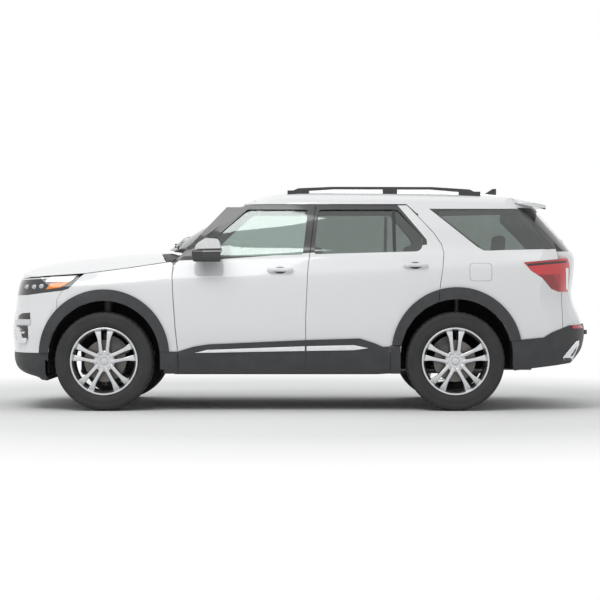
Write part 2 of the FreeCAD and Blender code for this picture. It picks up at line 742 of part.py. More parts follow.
def makeBodySide():
    """Left body side: pillars, sill, roof edge and rear quarter with its wheel arch."""
    pans = outlineXZ(shrunk(frontPanLine, -7)).fuse(outlineXZ(shrunk(rearPanLine, -7)))
    upper = sideShell(52, 100).common(pillarRegion().cut(pans))
    ring = outlineXZ([
        (bulkheadX + 36 + seat, 300), (bulkheadX + 36 + seat, 1170), (noseX + 1420, 1226),
        (rearAxleX - 60, 1226), (rearAxleX - 60, 1020), (rearArchX - 500, 620), (rearArchX - 520, 300),
    ])
    lower = sideShell(32, doorThickness).common(ring.cut(pans).cut(archCut(archTopRear, archRadius + 12)))
    toe = box(frontAxleX + archRadius, frontAxleX + 600 - panelGap, -wide, 0, 300, 478)
    heel = box(archFoot[0] + panelGap, rearArchX, -wide, 0, 300, 526).cut(archCut(archTopRear, archRadius))
    ends = sideShell(0, 40).common(toe.cut(archCut(archTopFront, archRadius + 30)).fuse(heel))
    quarter = outlineXZ([
        (tailX - 470, 1900), (tailX - 336, 1306),
        (tailX - 300, 1000), (tailX - 300, 560), (rearArchX + 380, 560), (rearArchX + 100, 300),
        (rearArchX - 300, 300), (rearArchX - 300, 1640), (spoilerX - 10, 1640), (spoilerX - 10, 1900),
    ])
    door = outlineXZ(shrunk(rearDoorLine, -panelGap / 2))
    quarter = quarter.cut(door).cut(archCut(archTopRear, archRadius)).cut(outlineXZ(shrunk(tailLampLine, -0.4)))
    outer = cabinWallDeep.common(quarter.fuse([roofEdgeRegion(), pillarSkinRegion()])).common(topForm(0))
    outer = outer.cut(lowerBumperRegion(seat)).cut(tailRegion(-4)).cut(box(noseX, tailX, -roofSplitY, 1, 1500, 1900))
    outer = outer.cut(spoilerSpace(-4).cut(topForm(roofThickness)))
    pads = [box(x, x + 70, -924, -880, 382, 392 - seat) for x in (frontAxleX + 704, bodySplitX + 82)]
    side = upper.fuse([lower, ends, outer] + pads)
    side = side.cut(outlineXZ(quarterGlassLine, 30)).cut(windshieldSpace(0))
    return largest(side)


def pillarSkinRegion():
    """Side view region of the windshield pillar's skin in front of the door frame."""
    return outlineXZ([
        (frontAxleX + 566, 1214), (frontAxleX + 568, 1204), (frontAxleX + 635, 1264),
        (frontAxleX + 1134, doorTop + panelGap), (frontAxleX + 1160, doorTop + panelGap),
        (frontAxleX + 1160, 1900), (frontAxleX + 566, 1900),
    ])


def roofEdgeRegion():
    """Side view region of the roof edge above the doors."""
    return outlineXZ([
        (frontAxleX + 1150, doorTop + panelGap), (rearAxleX - 385, doorTop + panelGap), (rearAxleX - 300, 1610),
        (spoilerX + 20, 1610), (spoilerX + 20, 1900), (frontAxleX + 1150, 1900),
    ])


cabinHollow = lengthwise(cabinSection, cabinPlaces, wallThickness - 22).common(tailForm(70))
cabinWallDeep = cabinRoofForm.common(tailForm(0)).cut(cabinHollow)


def tailRegion(gap):
    """Space of the tailgate, seen from behind, with its sides swept forward at the top."""
    points = shrunk(tailgateSpan, gap)
    return outlineYZ(points, 40, tailX - 640, tailX + 100)


def makeTailgate():
    """Tailgate panel with the backlight opening, the plate recess and the roof spoiler."""
    wall = cabinWhole.cut(tailInner).common(tailRegion(panelGap / 2))
    wall = wall.common(box(tailX - 640, tailX + 50, -wide, wide, 700, 1800))
    opening = outlineYZ([(-640, 1300), (-560, 1640), (560, 1640), (640, 1300)], 50, tailX - 700, tailX + 100)
    recess = outlineYZ([(-270, 800), (-270, 930), (270, 930), (270, 800)], 20, tailX - 400, tailX + 100)
    wall = wall.cut(opening).cut(recess.cut(tailForm(18)))
    spoiler = topForm(0).cut(topForm(roofThickness - 8)).common(cabinRoofForm)
    arms = []
    for y in (-355, 330 + seat):
        arms.append(box(spoilerX + 2, spoilerX + 60, y, y + 25 - seat, 1706, 1752))
    return largest(wall.fuse([spoiler.common(spoilerSpace(0))] + arms))


spoilerLine = [
    (spoilerX, -roofSplitY), (spoilerX + 90, -668), (tailX - 400, -640), (tailX - 364, 0), (tailX - 400, 640),
    (spoilerX + 90, 668), (spoilerX, roofSplitY),
]


def spoilerSpace(gap):
    """Space of the roof spoiler in the plan view."""
    return outlineXY(shrunk(spoilerLine, gap), 12, 1400, 1900)


cabinWhole = cabinRoofForm.common(topForm(4)).common(tailForm(0))


def makeBacklight():
    """Tailgate glass seated in its opening."""
    wall = tailForm(6).cut(tailForm(6 + glassThickness))
    return largest(wall.common(outlineYZ([(-639, 1301), (-559, 1639), (559, 1639), (639, 1301)], 50, tailX - 700, tailX + 100)))


def makeQuarterGlass():
    """Left quarter glass."""
    wall = lengthwiseWall(cabinSection, cabinPlaces, 4, 4 + glassThickness)
    return largest(wall.common(outlineXZ(shrunk(quarterGlassLine, 0.5), 30)).cut(tailRegion(-4)))


def makeTailLamp():
    """Left tail lamp, wrapping round the corner."""
    shell = cabinRoofForm.common(tailForm(0)).cut(lengthwise(cabinSection, cabinPlaces, 70).common(tailForm(76)))
    return largest(shell.common(outlineXZ(shrunk(tailLampLine, 0.4))).cut(tailRegion(-4)), 100000)


def makeRearBumper():
    """Painted rear bumper cover under the tailgate and the lamps."""
    shell = cabinRoofForm.common(tailForm(0)).cut(lengthwise(cabinSection, cabinPlaces, 30).common(tailForm(80)))
    region = outlineXZ([
        (tailX - 300 + 4, 966), (tailX + 100, 966), (tailX + 100, 640), (tailX - 296, 640),
    ], 0, -wide, wide)
    cover = shell.common(region).cut(tailRegion(-4)).cut(outlineXZ(shrunk(tailLampLine, -0.4), 0, -wide, wide))
    return largest(cover.cut(lowerBumperRegion(seat)))


def lowerBumperRegion(gap):
    """Space of the unpainted lower bumper at the rear."""
    line = [(x, z + gap) for x, z in bumperTop] + [(tailX + 100, 702 + gap)]
    line += [(tailX + 100, 630), (tailX - 30, 556), (tailX - 222, 384), (rearArchX + 470, 326), (rearArchX + 400, 560)]
    return outlineXZ(line, 0, -wide - 1, wide + 1)


def makeLowerRearBumper():
    """Unpainted lower bumper at the rear with a step on top."""
    shell = cabinLow.common(tailForm(-14)).cut(cabinLowInner.common(tailForm(80)))
    step = outlineXY([
        (tailX - 90, -330), (tailX - 22, -330), (tailX + 3, -250), (tailX + 3, 250), (tailX - 22, 330), (tailX - 90, 330),
    ], 12, 606, 640)
    shell = shell.common(lowerBumperRegion(0)).cut(archCut(archTopRear, archRadius))
    return largest(shell.fuse(step.cut(cabinLowInner.common(tailForm(40)))))


cabinLow = lengthwise(cabinSection, cabinPlaces, -10)
cabinLowInner = lengthwise(cabinSection, cabinPlaces, 30)


def flareRegion(centre, rise):
    """Side view region of a wheel arch flare."""
    x, z = centre
    reach = archRadius + flareWidth
    outer = barY(reach, x, z + rise, -wide, 0).fuse(box(x - reach, x + reach, -wide, 0, 300, z + rise))
    return outer.cut(archCut(centre, archRadius))


def cladRegionPrism():
    """Side view region of the unpainted sill."""
    return outlineXZ([
        (frontAxleX + archRadius - 2, sillHeight), (frontAxleX + archRadius - 2, 478), (frontAxleX + 600, 482),
        (frontAxleX + 730, 522), (frontAxleX + 842, 540), (bodySplitX, 575), (rearArchX - 786, 588),
        (rearArchX - 664, 548), (rearArchX - 600, 520), (rearArchX - archRadius - 2, 526),
        (rearArchX - archRadius - 2, sillHeight),
    ], [0, 0, 30, 60, 60, 0, 60, 40, 30, 0, 0])


def makeArchCladding():
    """Left flares over both wheels with the sill ends that stay on the body."""
    flareWall = sideShell(-flareProud, -cladSeat)
    front = flareRegion(archTopFront, 19).cut(box(noseX, frontAxleX, -wide - 1, 1, 200, 470))
    front = front.cut(box(frontAxleX, frontAxleX + 700, -wide - 1, 1, 200, 480))
    rear = flareRegion(archTopRear, 24).cut(outlineXZ(shrunk(rearDoorLine, -panelGap / 2), 0, -wide - 1, 1))
    rear = rear.cut(box(rearArchX - 700, rearArchX, -wide - 1, 1, 200, 600))
    rear = rear.cut(box(rearArchX, tailX, -wide - 1, 1, 200, 572)).cut(lowerBumperRegion(0.7))
    sill = cladRegionPrism().cut(archCut(archTopFront, archRadius)).cut(archCut(archTopRear, archRadius))
    toe = sill.common(box(frontAxleX, frontAxleX + 600 - panelGap, -wide, 0, 200, 479))
    heel = sill.common(box(archFoot[0] + panelGap, rearArchX, -wide, 0, 200, 525))
    sillWall = sideShell(-claddingThickness, -cladSeat)
    pieces = [front.common(flareWall), rear.common(flareWall), toe.common(sillWall), heel.common(sillWall)]
    return Part.makeCompound([solid for piece in pieces for solid in piece.Solids if solid.Volume > 50000])


def doorCladding(outline):
    """Unpainted lower edge of a door, with the arch part that a rear door carries."""
    region = outlineXZ(shrunk(outline, panelGap / 2))
    clad = cladRegionPrism().common(sideShell(-claddingThickness, -cladSeat)).common(region)
    if outline is rearDoorLine:
        clad = clad.fuse(flareRegion(archTopRear, 24).common(region).common(sideShell(-flareProud, -cladSeat)))
    return largest(clad, 50000)


def makeTyre(x):
    """Left tyre as a revolved section with a rounded shoulder."""
    half = tyreWidth / 2
    rim = rimRadius + 0.4
    points = [
        (-half + 24.6, rim), (-half + 18.4, rim + 6.2), (-half + 8, rim + 29), (-half, rim + 63),
        (-half + 4, tyreRadius - 40),
        (-half + 26, tyreRadius - 8), (-half + 60, tyreRadius),
    ]
    ring = points + [(-y, r) for y, r in reversed(points)]
    edge = [Vector(x, -hubY + y, hubZ + r) for y, r in ring]
    face = Part.Face(Part.makePolygon(edge + edge[:1]))
    return face.revolve(Vector(x, 0, hubZ), Vector(0, 1, 0), 360)


def revolvedY(points, x, y0):
    """Turned piece about the wheel's axle from (y, radius) points."""
    edge = [Vector(x, y0 + y, hubZ + r) for y, r in points]
    face = Part.Face(Part.makePolygon(edge + edge[:1]))
    return face.revolve(Vector(x, 0, hubZ), Vector(0, 1, 0), 360)


def makeRim(x):
    """Left wheel: rim barrel, five double spokes, hub with its cap and the brake disc behind."""
    half = tyreWidth / 2
    barrel = revolvedY([
        (-half + 12, rimRadius + 6), (-half + 20, rimRadius - 10), (-half + 60, rimRadius - 26),
        (half - 60, rimRadius - 26), (half - 20, rimRadius - 10), (half - 12, rimRadius + 6),
        (half - 18, rimRadius + 6), (half - 24, rimRadius), (-half + 24, rimRadius), (-half + 18, rimRadius + 6),
    ], x, -hubY)
    hub = revolvedY([(-92, 0), (-92, 62), (-86, 84), (-52, 90), (-30, 90), (-30, 0)], x, -hubY)
    spokes = []
    for i in range(5):
        for side in (-1, 1):
            line = [(20 * side - 15, 56), (20 * side + 15, 56), (43 * side + 13, rimRadius - 12), (43 * side - 13, rimRadius - 12)]
            spoke = outlineYZ(line, 0, 0, 36)
            spoke.rotate(Vector(0, 0, 0), Vector(0, 0, 1), 90)
            spoke.translate(Vector(x, -hubY - 100, hubZ))
            spoke.rotate(Vector(x, 0, hubZ), Vector(0, 1, 0), 72 * i)
            spokes.append(spoke)
    wheel = barrel.fuse([hub] + spokes)
    for i in range(5):
        hole = barY(11, x, hubZ + 57, -hubY - 140, -hubY - 70)
        hole.rotate(Vector(x, 0, hubZ), Vector(0, 1, 0), 72 * i)
        wheel = wheel.cut(hole)
    disc = barY(172, x, hubZ, -hubY - 6, -hubY + 20)
    neck = barY(78, x, hubZ, -hubY - 40, -hubY + 20)
    return largest(wheel.fuse([neck, disc]).cut(barY(30, x, hubZ, -hubY - 60, -hubY + 80)))


def makeKnuckle(x):
    """Left front knuckle with its spindle, ball joint arms, steering arm and brake caliper."""
    spindle = barY(29.6, x, hubZ, -hubY - 50, -hubY + 75)
    carrier = barY(62, x, hubZ, -hubY + 26, -hubY + 75)
    upper = rod((x, -kingpinY, hubZ + 200), (x, -kingpinY, hubZ + 20), 24)
    lower = rod((x, -kingpinY, hubZ - 20), (x, -kingpinY, hubZ - 150), 26)
    arm = rod((x, -kingpinY, hubZ + 10), (x + 150, -kingpinY + 20, hubZ - 40), 15)
    caliper = archSegment(x, 118, 214, 20, 74, -hubY - 44, -hubY + 62)
    slot = barY(181, x, hubZ, -hubY - 14, -hubY + 26)
    caliper = caliper.cut(slot)
    bridge = rod((x + 60, -kingpinY - 4, hubZ + 30), (x + 140, -kingpinY - 20, hubZ + 60), 18)
    return largest(spindle.fuse([carrier, upper, lower, arm, bridge, caliper]))


def archSegment(x, inner, outer, start, end, y0, y1):
    """Part of a ring about the axle, from a start to an end angle."""
    ring = barY(outer, x, hubZ, y0, y1).cut(barY(inner, x, hubZ, y0, y1))
    a = math.radians(start)
    b = math.radians(end)
    far = outer * 1.5
    line = [(x, hubZ), (x + far * math.cos(a), hubZ + far * math.sin(a)), (x + far * math.cos(b), hubZ + far * math.sin(b))]
    return ring.common(outlineXZ(line, 0, y0, y1))


def makeFrontCarrier():
    """Front subframe with lower arms, upper links, struts and half shafts."""
    x = frontAxleX
    frame = outlineXY([(x - 260, -330), (x + 300, -380), (x + 300, 380), (x - 260, 330)], 60, 262, 312)
    frame = frame.cut(outlineXY([(x - 160, -200), (x + 180, -240), (x + 180, 240), (x - 160, 200)], 50, 250, 320))
    left = []
    ball = (x, -kingpinY, hubZ - 182)
    left.append(rod(ball, (x - 190, -330, 290), 20))
    left.append(rod(ball, (x + 230, -340, 290), 22))
    left.append(rod((x, -kingpinY, hubZ - 204), (x, -kingpinY, hubZ - 150.4), 28))
    left.append(rod((x, -kingpinY, hubZ + 200.4), (x, -kingpinY, hubZ + 228), 28))
    left.append(rod((x, -kingpinY, hubZ + 215), (x, -strutY, hubZ + 215), 14))
    left.append(rod((x, -strutY, hubZ + 195), (x, -strutY, towerZ - seat), 20))
    left.append(rod((x, -strutY, hubZ + 330), (x, -strutY, towerZ - 20), 44))
    left.append(barY(18, x, hubZ, -hubY + 98, -220))
    left.append(barY(38, x, hubZ, -hubY + 122, -hubY + 176))
    left.append(rod((x - 60, -330, 300), (x, -230, hubZ), 26))
    for place in (x - 230, x + 270):
        left.append(box(place - 20, place + 20, -440, -300, 284, 312))
        left.append(rod((place, -430, 290), (place, -430, railZ - seat), 18))
    right = [mirrored(shape) for shape in left]
    return frame.fuse(left + right + [barY(38, x, hubZ, -230, 230)])


def makeRearCarrier():
    """Rear subframe with differential, arms, half shafts and the rear wheel carriers."""
    x = rearAxleX
    frame = outlineXY([(x - 330, -420), (x + 300, -420), (x + 300, 420), (x - 330, 420)], 60, 330, 380)
    frame = frame.cut(outlineXY([(x - 220, -300), (x + 200, -300), (x + 200, 300), (x - 220, 300)], 50, 320, 390))
    housing = Part.makeSphere(112, Vector(x, 0, hubZ)).fuse(rod((x, 0, hubZ), (x - 260, 0, hubZ), 56))
    cross = rod((x + 100, -320, 355), (x + 100, 320, 355), 30)
    left = [barY(24, x, hubZ, -hubY + 60, -80)]
    left.append(barY(29.6, x, hubZ, -hubY - 50, -hubY + 75))
    left.append(barY(70, x, hubZ, -hubY + 26, -hubY + 80))
    left.append(rod((x, -hubY + 60, hubZ - 40), (x - 260, -410, 350), 22))
    left.append(rod((x, -hubY + 60, hubZ - 40), (x + 240, -410, 350), 22))
    left.append(rod((x, -hubY + 60, hubZ + 20), (x + 30, -680, hubZ + 30), 22))
    left.append(rod((x + 30, -680, hubZ + 10), (x + 30, -670, rearArchZ + 453), 24))
    for place in (x - 290, x + 260):
        left.append(rod((place, -405, 360), (place, -405, 430 - seat), 20))
    left.append(rod((x, -hubY + 55, hubZ), (x - 60, -hubY + 55, hubZ + 140), 24))
    caliper = archSegment(x, 118, 214, 100, 150, -hubY - 44, -hubY + 62).cut(barY(181, x, hubZ, -hubY - 14, -hubY + 26))
    left.append(caliper)
    left.append(rod((x - 60, -hubY + 55, hubZ + 140), (x - 90, -hubY + 55, hubZ + 120), 20))
    return frame.fuse([housing, cross] + left + [mirrored(shape) for shape in left])


def makeFloor():
    """Floor pan, raised over the rear axle, with the rear rails and the panel behind the load floor."""
    line = [
        (bulkheadX, 420), (bulkheadX, 380), (frontAxleX + 600, 318), (rearAxleX - 480, 318), (rearAxleX - 340, 520),
        (tailX - 340, 520), (tailX - 340, loadFloorTop), (rearAxleX - 360, loadFloorTop),
        (rearAxleX - 500, floorTop), (frontAxleX + 620, floorTop),
    ]
    inner = lengthwise(cabinSection, cabinPlaces, doorThickness + seat)
    parts = [outlineXZ(line, 0, -950, 950).common(inner)]
    for y in (-460, 380):
        parts.append(box(rearAxleX - 400, tailX - 340, y, y + 80, 430, 530))
    parts.append(box(tailX - 352, tailX - 340, -640, 640, 540, 690))
    floor = parts[0].fuse(parts[1:])
    for side in (-1, 1):
        ends = sorted((side * (linerInner - 6 - seat), side * 960))
        floor = floor.cut(archCut(archTopRear, archRadius + 10 + seat, ends[0], ends[1]))
    return largest(floor)


linerInner = 620.0


def makeLiners():
    """Left wheel house liners, front and rear, seated inside the skins."""
    frontRing = archCut(archTopFront, archRadius + 10).cut(archCut(archTopFront, archRadius + 4))
    frontRing = frontRing.common(box(noseX, tailX, -948, -wheelHouseInner - seat, 300, 1100))
    strutHole = Part.makeCylinder(64, 400, Vector(frontAxleX, -strutY, 600))
    front = frontRing.common(lengthwise(hoodSection, hoodPlaces, 31).common(noseForm(71))).cut(strutHole)
    rearRing = archCut(archTopRear, archRadius + 10).cut(archCut(archTopRear, archRadius + 4, -wide, -linerInner))
    rearRing = rearRing.common(box(noseX, tailX, -wide + 1, -linerInner + 6, 330, 1100))
    rear = rearRing.common(lengthwise(cabinSection, cabinPlaces, wallThickness - 22 + seat))
    shaftHole = box(rearAxleX - 175, rearAxleX + 175, -700, -500, 200, hubZ + 90)
    return Part.makeCompound(front.Solids + rear.cut(shaftHole).Solids)


def makeBulkhead():
    """Bulkhead between engine and cabin with the cowl tray, aprons, strut towers and front rails."""
    x = bulkheadX
    wall = box(x, x + 36, -880, 880, 420 + seat, 1060)
    wall = wall.fuse(box(x, x + 36, -600, 600, 1060, 1130))
    pieces = [outlineXZ([(x - 110, 1100), (x + 10, 1100), (x + 10, 1130), (x - 110, 1130)], 0, -600, 600)]
    for side in (-1, 1):
        def across(a, b):
            return sorted((side * a, side * b))
        apron = outlineXZ([
            (noseX + 260, railZ), (x, railZ), (x, 1010), (frontAxleX - 120, 1010), (noseX + 420, 720),
        ], 0, *across(wheelHouseInner - 18, wheelHouseInner))
        pieces.append(apron)
        pieces.append(box(noseX + 240, x, *across(390, wheelHouseInner - 18), railZ, railZ + 90))
        pieces.append(box(frontAxleX - 90, frontAxleX + 90, *across(wheelHouseInner - 5, strutY + 62), towerZ, towerZ + 12))
        pieces.append(box(frontAxleX - 40, frontAxleX + 40, *across(300 + seat, 395), railZ + 20, railZ + 80))
    return wall.fuse(pieces)


railZ = 470.0
towerZ = 990.0
strutY = 640.0


def makeDashboard():
    """Dashboard with its hood over the dials and the centre console."""
    x = bulkheadX + 36 + seat
    line = [(x, 830), (x, 1120), (x + 120, 1172), (x + 300, 1176), (x + 400, 1120), (x + 380, 1000), (x + 260, 840)]
    body = outlineXZ(line, [10, 10, 60, 60, 50, 60, 60], -740, 740)
    foot = floorTop + seat
    console = outlineXZ([(x + 200, foot), (x + 230, 900), (x + 330, 900), (x + 700, 720), (x + 1120, 700), (x + 1120, foot)], 0, -115, 115)
    centre = Vector(*wheelCentre)
    axis = Vector(*wheelAxis)
    return body.fuse(console).cut(Part.makeCylinder(24.5, 200, centre - axis * 156, axis))


def seatShape(x, y, width, floorZ, rise, backTop, depth):
    """Seat with cushion, leaning back and headrest on its base."""
    base = floorZ + rise
    y0 = y - width / 2
    y1 = y + width / 2
    cushion = outlineXZ([
        (x, base + 150), (x, base + 270), (x + depth, base + 250), (x + depth, base + 130),
    ], 45, y0, y1)
    back = outlineXZ([
        (x + depth - 120, base + 200), (x + depth + 60, backTop), (x + depth + 160, backTop),
        (x + depth + 30, base + 140),
    ], 40, y0, y1)
    head = outlineXZ([
        (x + depth + 60, backTop + 30), (x + depth + 80, backTop + 190), (x + depth + 170, backTop + 180),
        (x + depth + 160, backTop + 30),
    ], 35, y - 130, y + 130)
    foot = outlineXZ([
        (x + 60, floorZ + seat), (x + 60, base + 160), (x + depth - 140, base + 160), (x + depth - 140, floorZ + seat),
    ], 0, y0 + 60, y1 - 60)
    posts = []
    for side in (-60, 60):
        posts.append(rod((x + depth + 110, y + side, backTop - 30), (x + depth + 116, y + side, backTop + 60), 8))
    return cushion.fuse([back, head, foot] + posts)


def makeSteeringWheel():
    """Steering wheel, its column leaning towards the driver."""
    centre = Vector(*wheelCentre)
    axis = Vector(*wheelAxis)
    ring = Part.makeTorus(182, 15, centre, axis)
    boss = Part.makeCylinder(62, 46, centre - axis * 40, axis)
    spokes = []
    across = axis.cross(Vector(0, 1, 0)).normalize()
    for way in (Vector(0, 1, 0), Vector(0, -1, 0), across if across.z < 0 else across * -1):
        spokes.append(Part.makeCylinder(13, 172, centre - axis * 10, way))
    column = Part.makeCylinder(24, 120, centre - axis * 150, axis)
    return ring.fuse([boss, column] + spokes)


wheelAxis = (math.cos(math.radians(24)), 0, math.sin(math.radians(24)))
wheelCentre = (frontAxleX + 1010, -370, 1090)


def makeMirror():
    """Left door mirror with its arm."""
    x = frontAxleX + 722
    head = outlineXZ([(x, 1252), (x + 30, 1352), (x + 110, 1398), (x + 214, 1392), (x + 236, 1300), (x + 226, 1240)], [30, 50, 40, 30, 30, 30], -1118, -925)
    head = head.common(outlineXY([(x - 5, -925), (x + 40, -1060), (x + 110, -1118), (x + 240, -1112), (x + 240, -925)], [20, 60, 60, 20, 10], 1200, 1420))
    arm = outlineXZ([(x + 60, 1232), (x + 60, 1262), (x + 190, 1262), (x + 190, 1232)], 10, -950, -868)
    return head.fuse(arm).cut(sideShell(-seat, 60))


def makeRail():
    """Left roof rail on three feet."""
    x0 = noseX + 2300
    x1 = noseX + 3940
    y = -606
    line = [(x0, 1778), (x0 + 110, 1824), (x0 + 400, 1836), (x1 - 420, 1834), (x1 - 110, 1814), (x1, 1762)]
    under = [(x1 - 150, 1788), (x1 - 440, 1812), (x0 + 400, 1814), (x0 + 170, 1800)]
    rail = outlineXZ(line + under, 8, y - 18, y + 18)
    feet = [box(x0 + 20, x0 + 200, y - 18, y + 18, 1760, 1806), box(noseX + 3110, noseX + 3230, y - 18, y + 18, 1770, 1820)]
    feet.append(box(x1 - 200, x1 - 20, y - 18, y + 18, 1740, 1796))
    return largest(rail.fuse(feet).cut(cabinRoofForm.common(topForm(0))))


def makeExhaust():
    """Exhaust pipe with a silencer, one tailpipe on each side and its hangers."""
    pipe = rod((frontAxleX + 500, 60, 280), (rearAxleX - 600, 60, 280), 32)
    rise = rod((rearAxleX - 600, 60, 280), (rearAxleX - 420, 160, 284), 32)
    run = rod((rearAxleX - 420, 160, 284), (rearAxleX + 430, 160, 284), 32)
    silencer = outlineYZ([(-300, 300), (-300, 420), (300, 420), (300, 300)], 50, rearAxleX + 420, rearAxleX + 700)
    pieces = [rise, run, silencer]
    for side in (-1, 1):
        pieces.append(rod((rearAxleX + 690, side * 250, 350), (tailX - 345, side * 420, 372), 32))
        y = side * 200
        pieces.append(box(rearAxleX + 540, rearAxleX + 570, y - 12, y + 12, 410, 520 - seat))
    pieces.append(box(frontAxleX + 1400, frontAxleX + 1430, 50, 70, 290, 318 - seat))
    return pipe.fuse(pieces)


def makeEngine():
    """Engine as one plain block with its sump."""
    x = frontAxleX
    block = outlineXZ([(x - 330, 520), (x - 300, 1010), (x + 260, 1010), (x + 330, 700), (x + 300, 470), (x - 200, 450)], 40, -300, 300)
    return block


nodes = {}


def keep(name, shape):
    """Keep a finished piece under its name."""
    nodes[name] = shape


side = makeBodySide()
keep("body_sides", both(side))
keep("roof_panel", makeRoof())
keep("floor_pan", makeFloor())
keep("wheel_liners", both(makeLiners()))
keep("cowl", makeCowl())
keep("bulkhead", makeBulkhead())
keep("dashboard", makeDashboard())
keep("front_fenders", both(makeFender()))
keep("hood", makeHood())
keep("front_bumper", makeFrontBumper())
keep("front_bumper_lower", makeLowerBumper())
keep("bumper_vents", makeVents())
keep("grille", makeGrille())
keep("headlamps", both(makeHeadlamp()))
keep("windshield", makeWindshield())
keep("quarter_glass", both(makeQuarterGlass()))
keep("tail_lamps", both(makeTailLamp()))
keep("rear_bumper", makeRearBumper())
keep("rear_bumper_lower", makeLowerRearBumper())
keep("tailgate", makeTailgate())
keep("tailgate_glass", makeBacklight())
keep("arch_cladding", both(makeArchCladding()))
keep("roof_rails", both(makeRail()))
keep("exhaust", makeExhaust())
keep("engine_block", makeEngine())
keep("front_axle_carrier", makeFrontCarrier())
keep("rear_axle_carrier", makeRearCarrier())
keep("steering_wheel", makeSteeringWheel())
keep("front_seats", both(seatShape(frontAxleX + 1110, -400, 520, floorTop, 2, 1150, 500)))
keep("second_row_seats", both(seatShape(frontAxleX + 1960, -383, 450, floorTop, 42, 1180, 470)))
keep("third_row_seat", seatShape(frontAxleX + 2760, 0, 1060, loadFloorTop, 5, 1260, 420))

for end, outline, pan, window, radii in (
    ("front", frontDoorLine, frontPanLine, frontWindowLine, windowRadii["front"]),
    ("rear", rearDoorLine, rearPanLine, rearWindowLine, windowRadii["rear"]),
):
    door = doorPanel(outline, pan, window, radii)
    door = largest(door)
    pane = largest(paneOf(window, radii), 1000)
    clad = doorCladding(outline)
    for hand in ("left", "right"):
        turn = mirrored if hand == "right" else (lambda shape: shape)
        keep(f"{end}_door_{hand}", turn(door))
        keep(f"{end}_door_glass_{hand}", turn(pane))
        keep(f"{end}_door_cladding_{hand}", turn(clad))

mirrorShape = makeMirror()
keep("mirror_left", mirrorShape)
keep("mirror_right", mirrored(mirrorShape))
knuckle = makeKnuckle(frontAxleX)
keep("knuckle_left", knuckle)
keep("knuckle_right", mirrored(knuckle))
for end, x in (("front", frontAxleX), ("rear", rearAxleX)):
    tyre = makeTyre(x)
    rim = makeRim(x)
    keep(f"tyre_{end}_left", tyre)
    keep(f"tyre_{end}_right", mirrored(tyre))
    keep(f"rim_{end}_left", rim)
    keep(f"rim_{end}_right", mirrored(rim))

for name, shape in nodes.items():
    shape.exportStep(f"parts/{name}.step")
    bound = shape.optimalBoundingBox(False)
    print(name, len(shape.Solids), shape.isValid(), [round(v) for v in (
        bound.XMin, bound.XMax, bound.YMin, bound.YMax, bound.ZMin, bound.ZMax)])
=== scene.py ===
import json
import math
import bpy
from mathutils import Matrix, Vector


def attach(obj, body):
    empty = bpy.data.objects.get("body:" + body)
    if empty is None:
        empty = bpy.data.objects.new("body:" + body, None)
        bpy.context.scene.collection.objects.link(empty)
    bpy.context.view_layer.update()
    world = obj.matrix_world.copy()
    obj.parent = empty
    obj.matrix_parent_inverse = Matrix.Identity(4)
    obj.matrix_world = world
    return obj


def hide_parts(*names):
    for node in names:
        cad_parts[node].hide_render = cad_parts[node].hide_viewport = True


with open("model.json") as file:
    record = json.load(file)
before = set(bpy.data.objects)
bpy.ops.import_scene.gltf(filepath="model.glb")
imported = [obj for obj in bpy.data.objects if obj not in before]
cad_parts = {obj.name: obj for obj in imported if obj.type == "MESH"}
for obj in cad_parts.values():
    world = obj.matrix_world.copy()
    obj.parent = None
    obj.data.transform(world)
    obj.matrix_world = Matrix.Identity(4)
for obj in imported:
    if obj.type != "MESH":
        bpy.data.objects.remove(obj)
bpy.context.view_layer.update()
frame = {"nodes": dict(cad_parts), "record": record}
nodes = frame["nodes"]
print("frame loaded", len(nodes))


def clearSelection():
    if bpy.context.object and bpy.context.object.mode != "OBJECT":
        bpy.ops.object.mode_set(mode="OBJECT")
    bpy.ops.object.select_all(action="DESELECT")


def named(name):
    piece = bpy.context.object
    piece.name = name
    piece.data.name = name
    return piece


def focus(piece):
    clearSelection()
    piece.select_set(True)
    bpy.context.view_layer.objects.active = piece
    return piece


def settle(piece):
    focus(piece)  # the place goes into the mesh
    bpy.ops.object.transform_apply(location=True, rotation=True, scale=True)
    return piece


def finishWith(piece, kind, **values):
    focus(piece)
    modifier = piece.modifiers.new(kind.title(), kind)
    for key, value in values.items():
        setattr(modifier, key, value)
    bpy.ops.object.modifier_apply(modifier=modifier.name)
    return piece


def bevelled(piece, width, segments, angle=30):
    return finishWith(
        piece, "BEVEL", width=width, segments=segments, limit_method="ANGLE", angle_limit=math.radians(angle))


def smoothed(piece, angle=35):
    focus(piece)
    bpy.ops.object.shade_smooth_by_angle(angle=math.radians(angle))
    return piece


def dressed(piece, material, body):
    piece.data.materials.clear()
    piece.data.materials.append(material)
    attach(piece, body)
    return piece


def joined(pieces, name):
    clearSelection()
    for piece in pieces:
        piece.select_set(True)
    bpy.context.view_layer.objects.active = pieces[0]
    bpy.ops.object.join()
    return named(name)


def selectNothing():
    # leaves the active mesh with nothing selected in it
    bpy.ops.object.mode_set(mode="EDIT")
    bpy.ops.mesh.select_all(action="DESELECT")
    bpy.ops.object.mode_set(mode="OBJECT")


def flipped(piece):
    focus(piece)
    bpy.ops.object.mode_set(mode="EDIT")
    bpy.ops.mesh.select_all(action="SELECT")
    bpy.ops.mesh.flip_normals()
    bpy.ops.object.mode_set(mode="OBJECT")
    return piece


def copied(piece, name, matrix):
    clearSelection()
    piece.select_set(True)
    bpy.context.view_layer.objects.active = piece
    bpy.ops.object.duplicate()
    twin = named(name)
    twin.matrix_world = matrix
    settle(twin)
    if matrix.determinant() < 0:
        flipped(twin)
    return twin


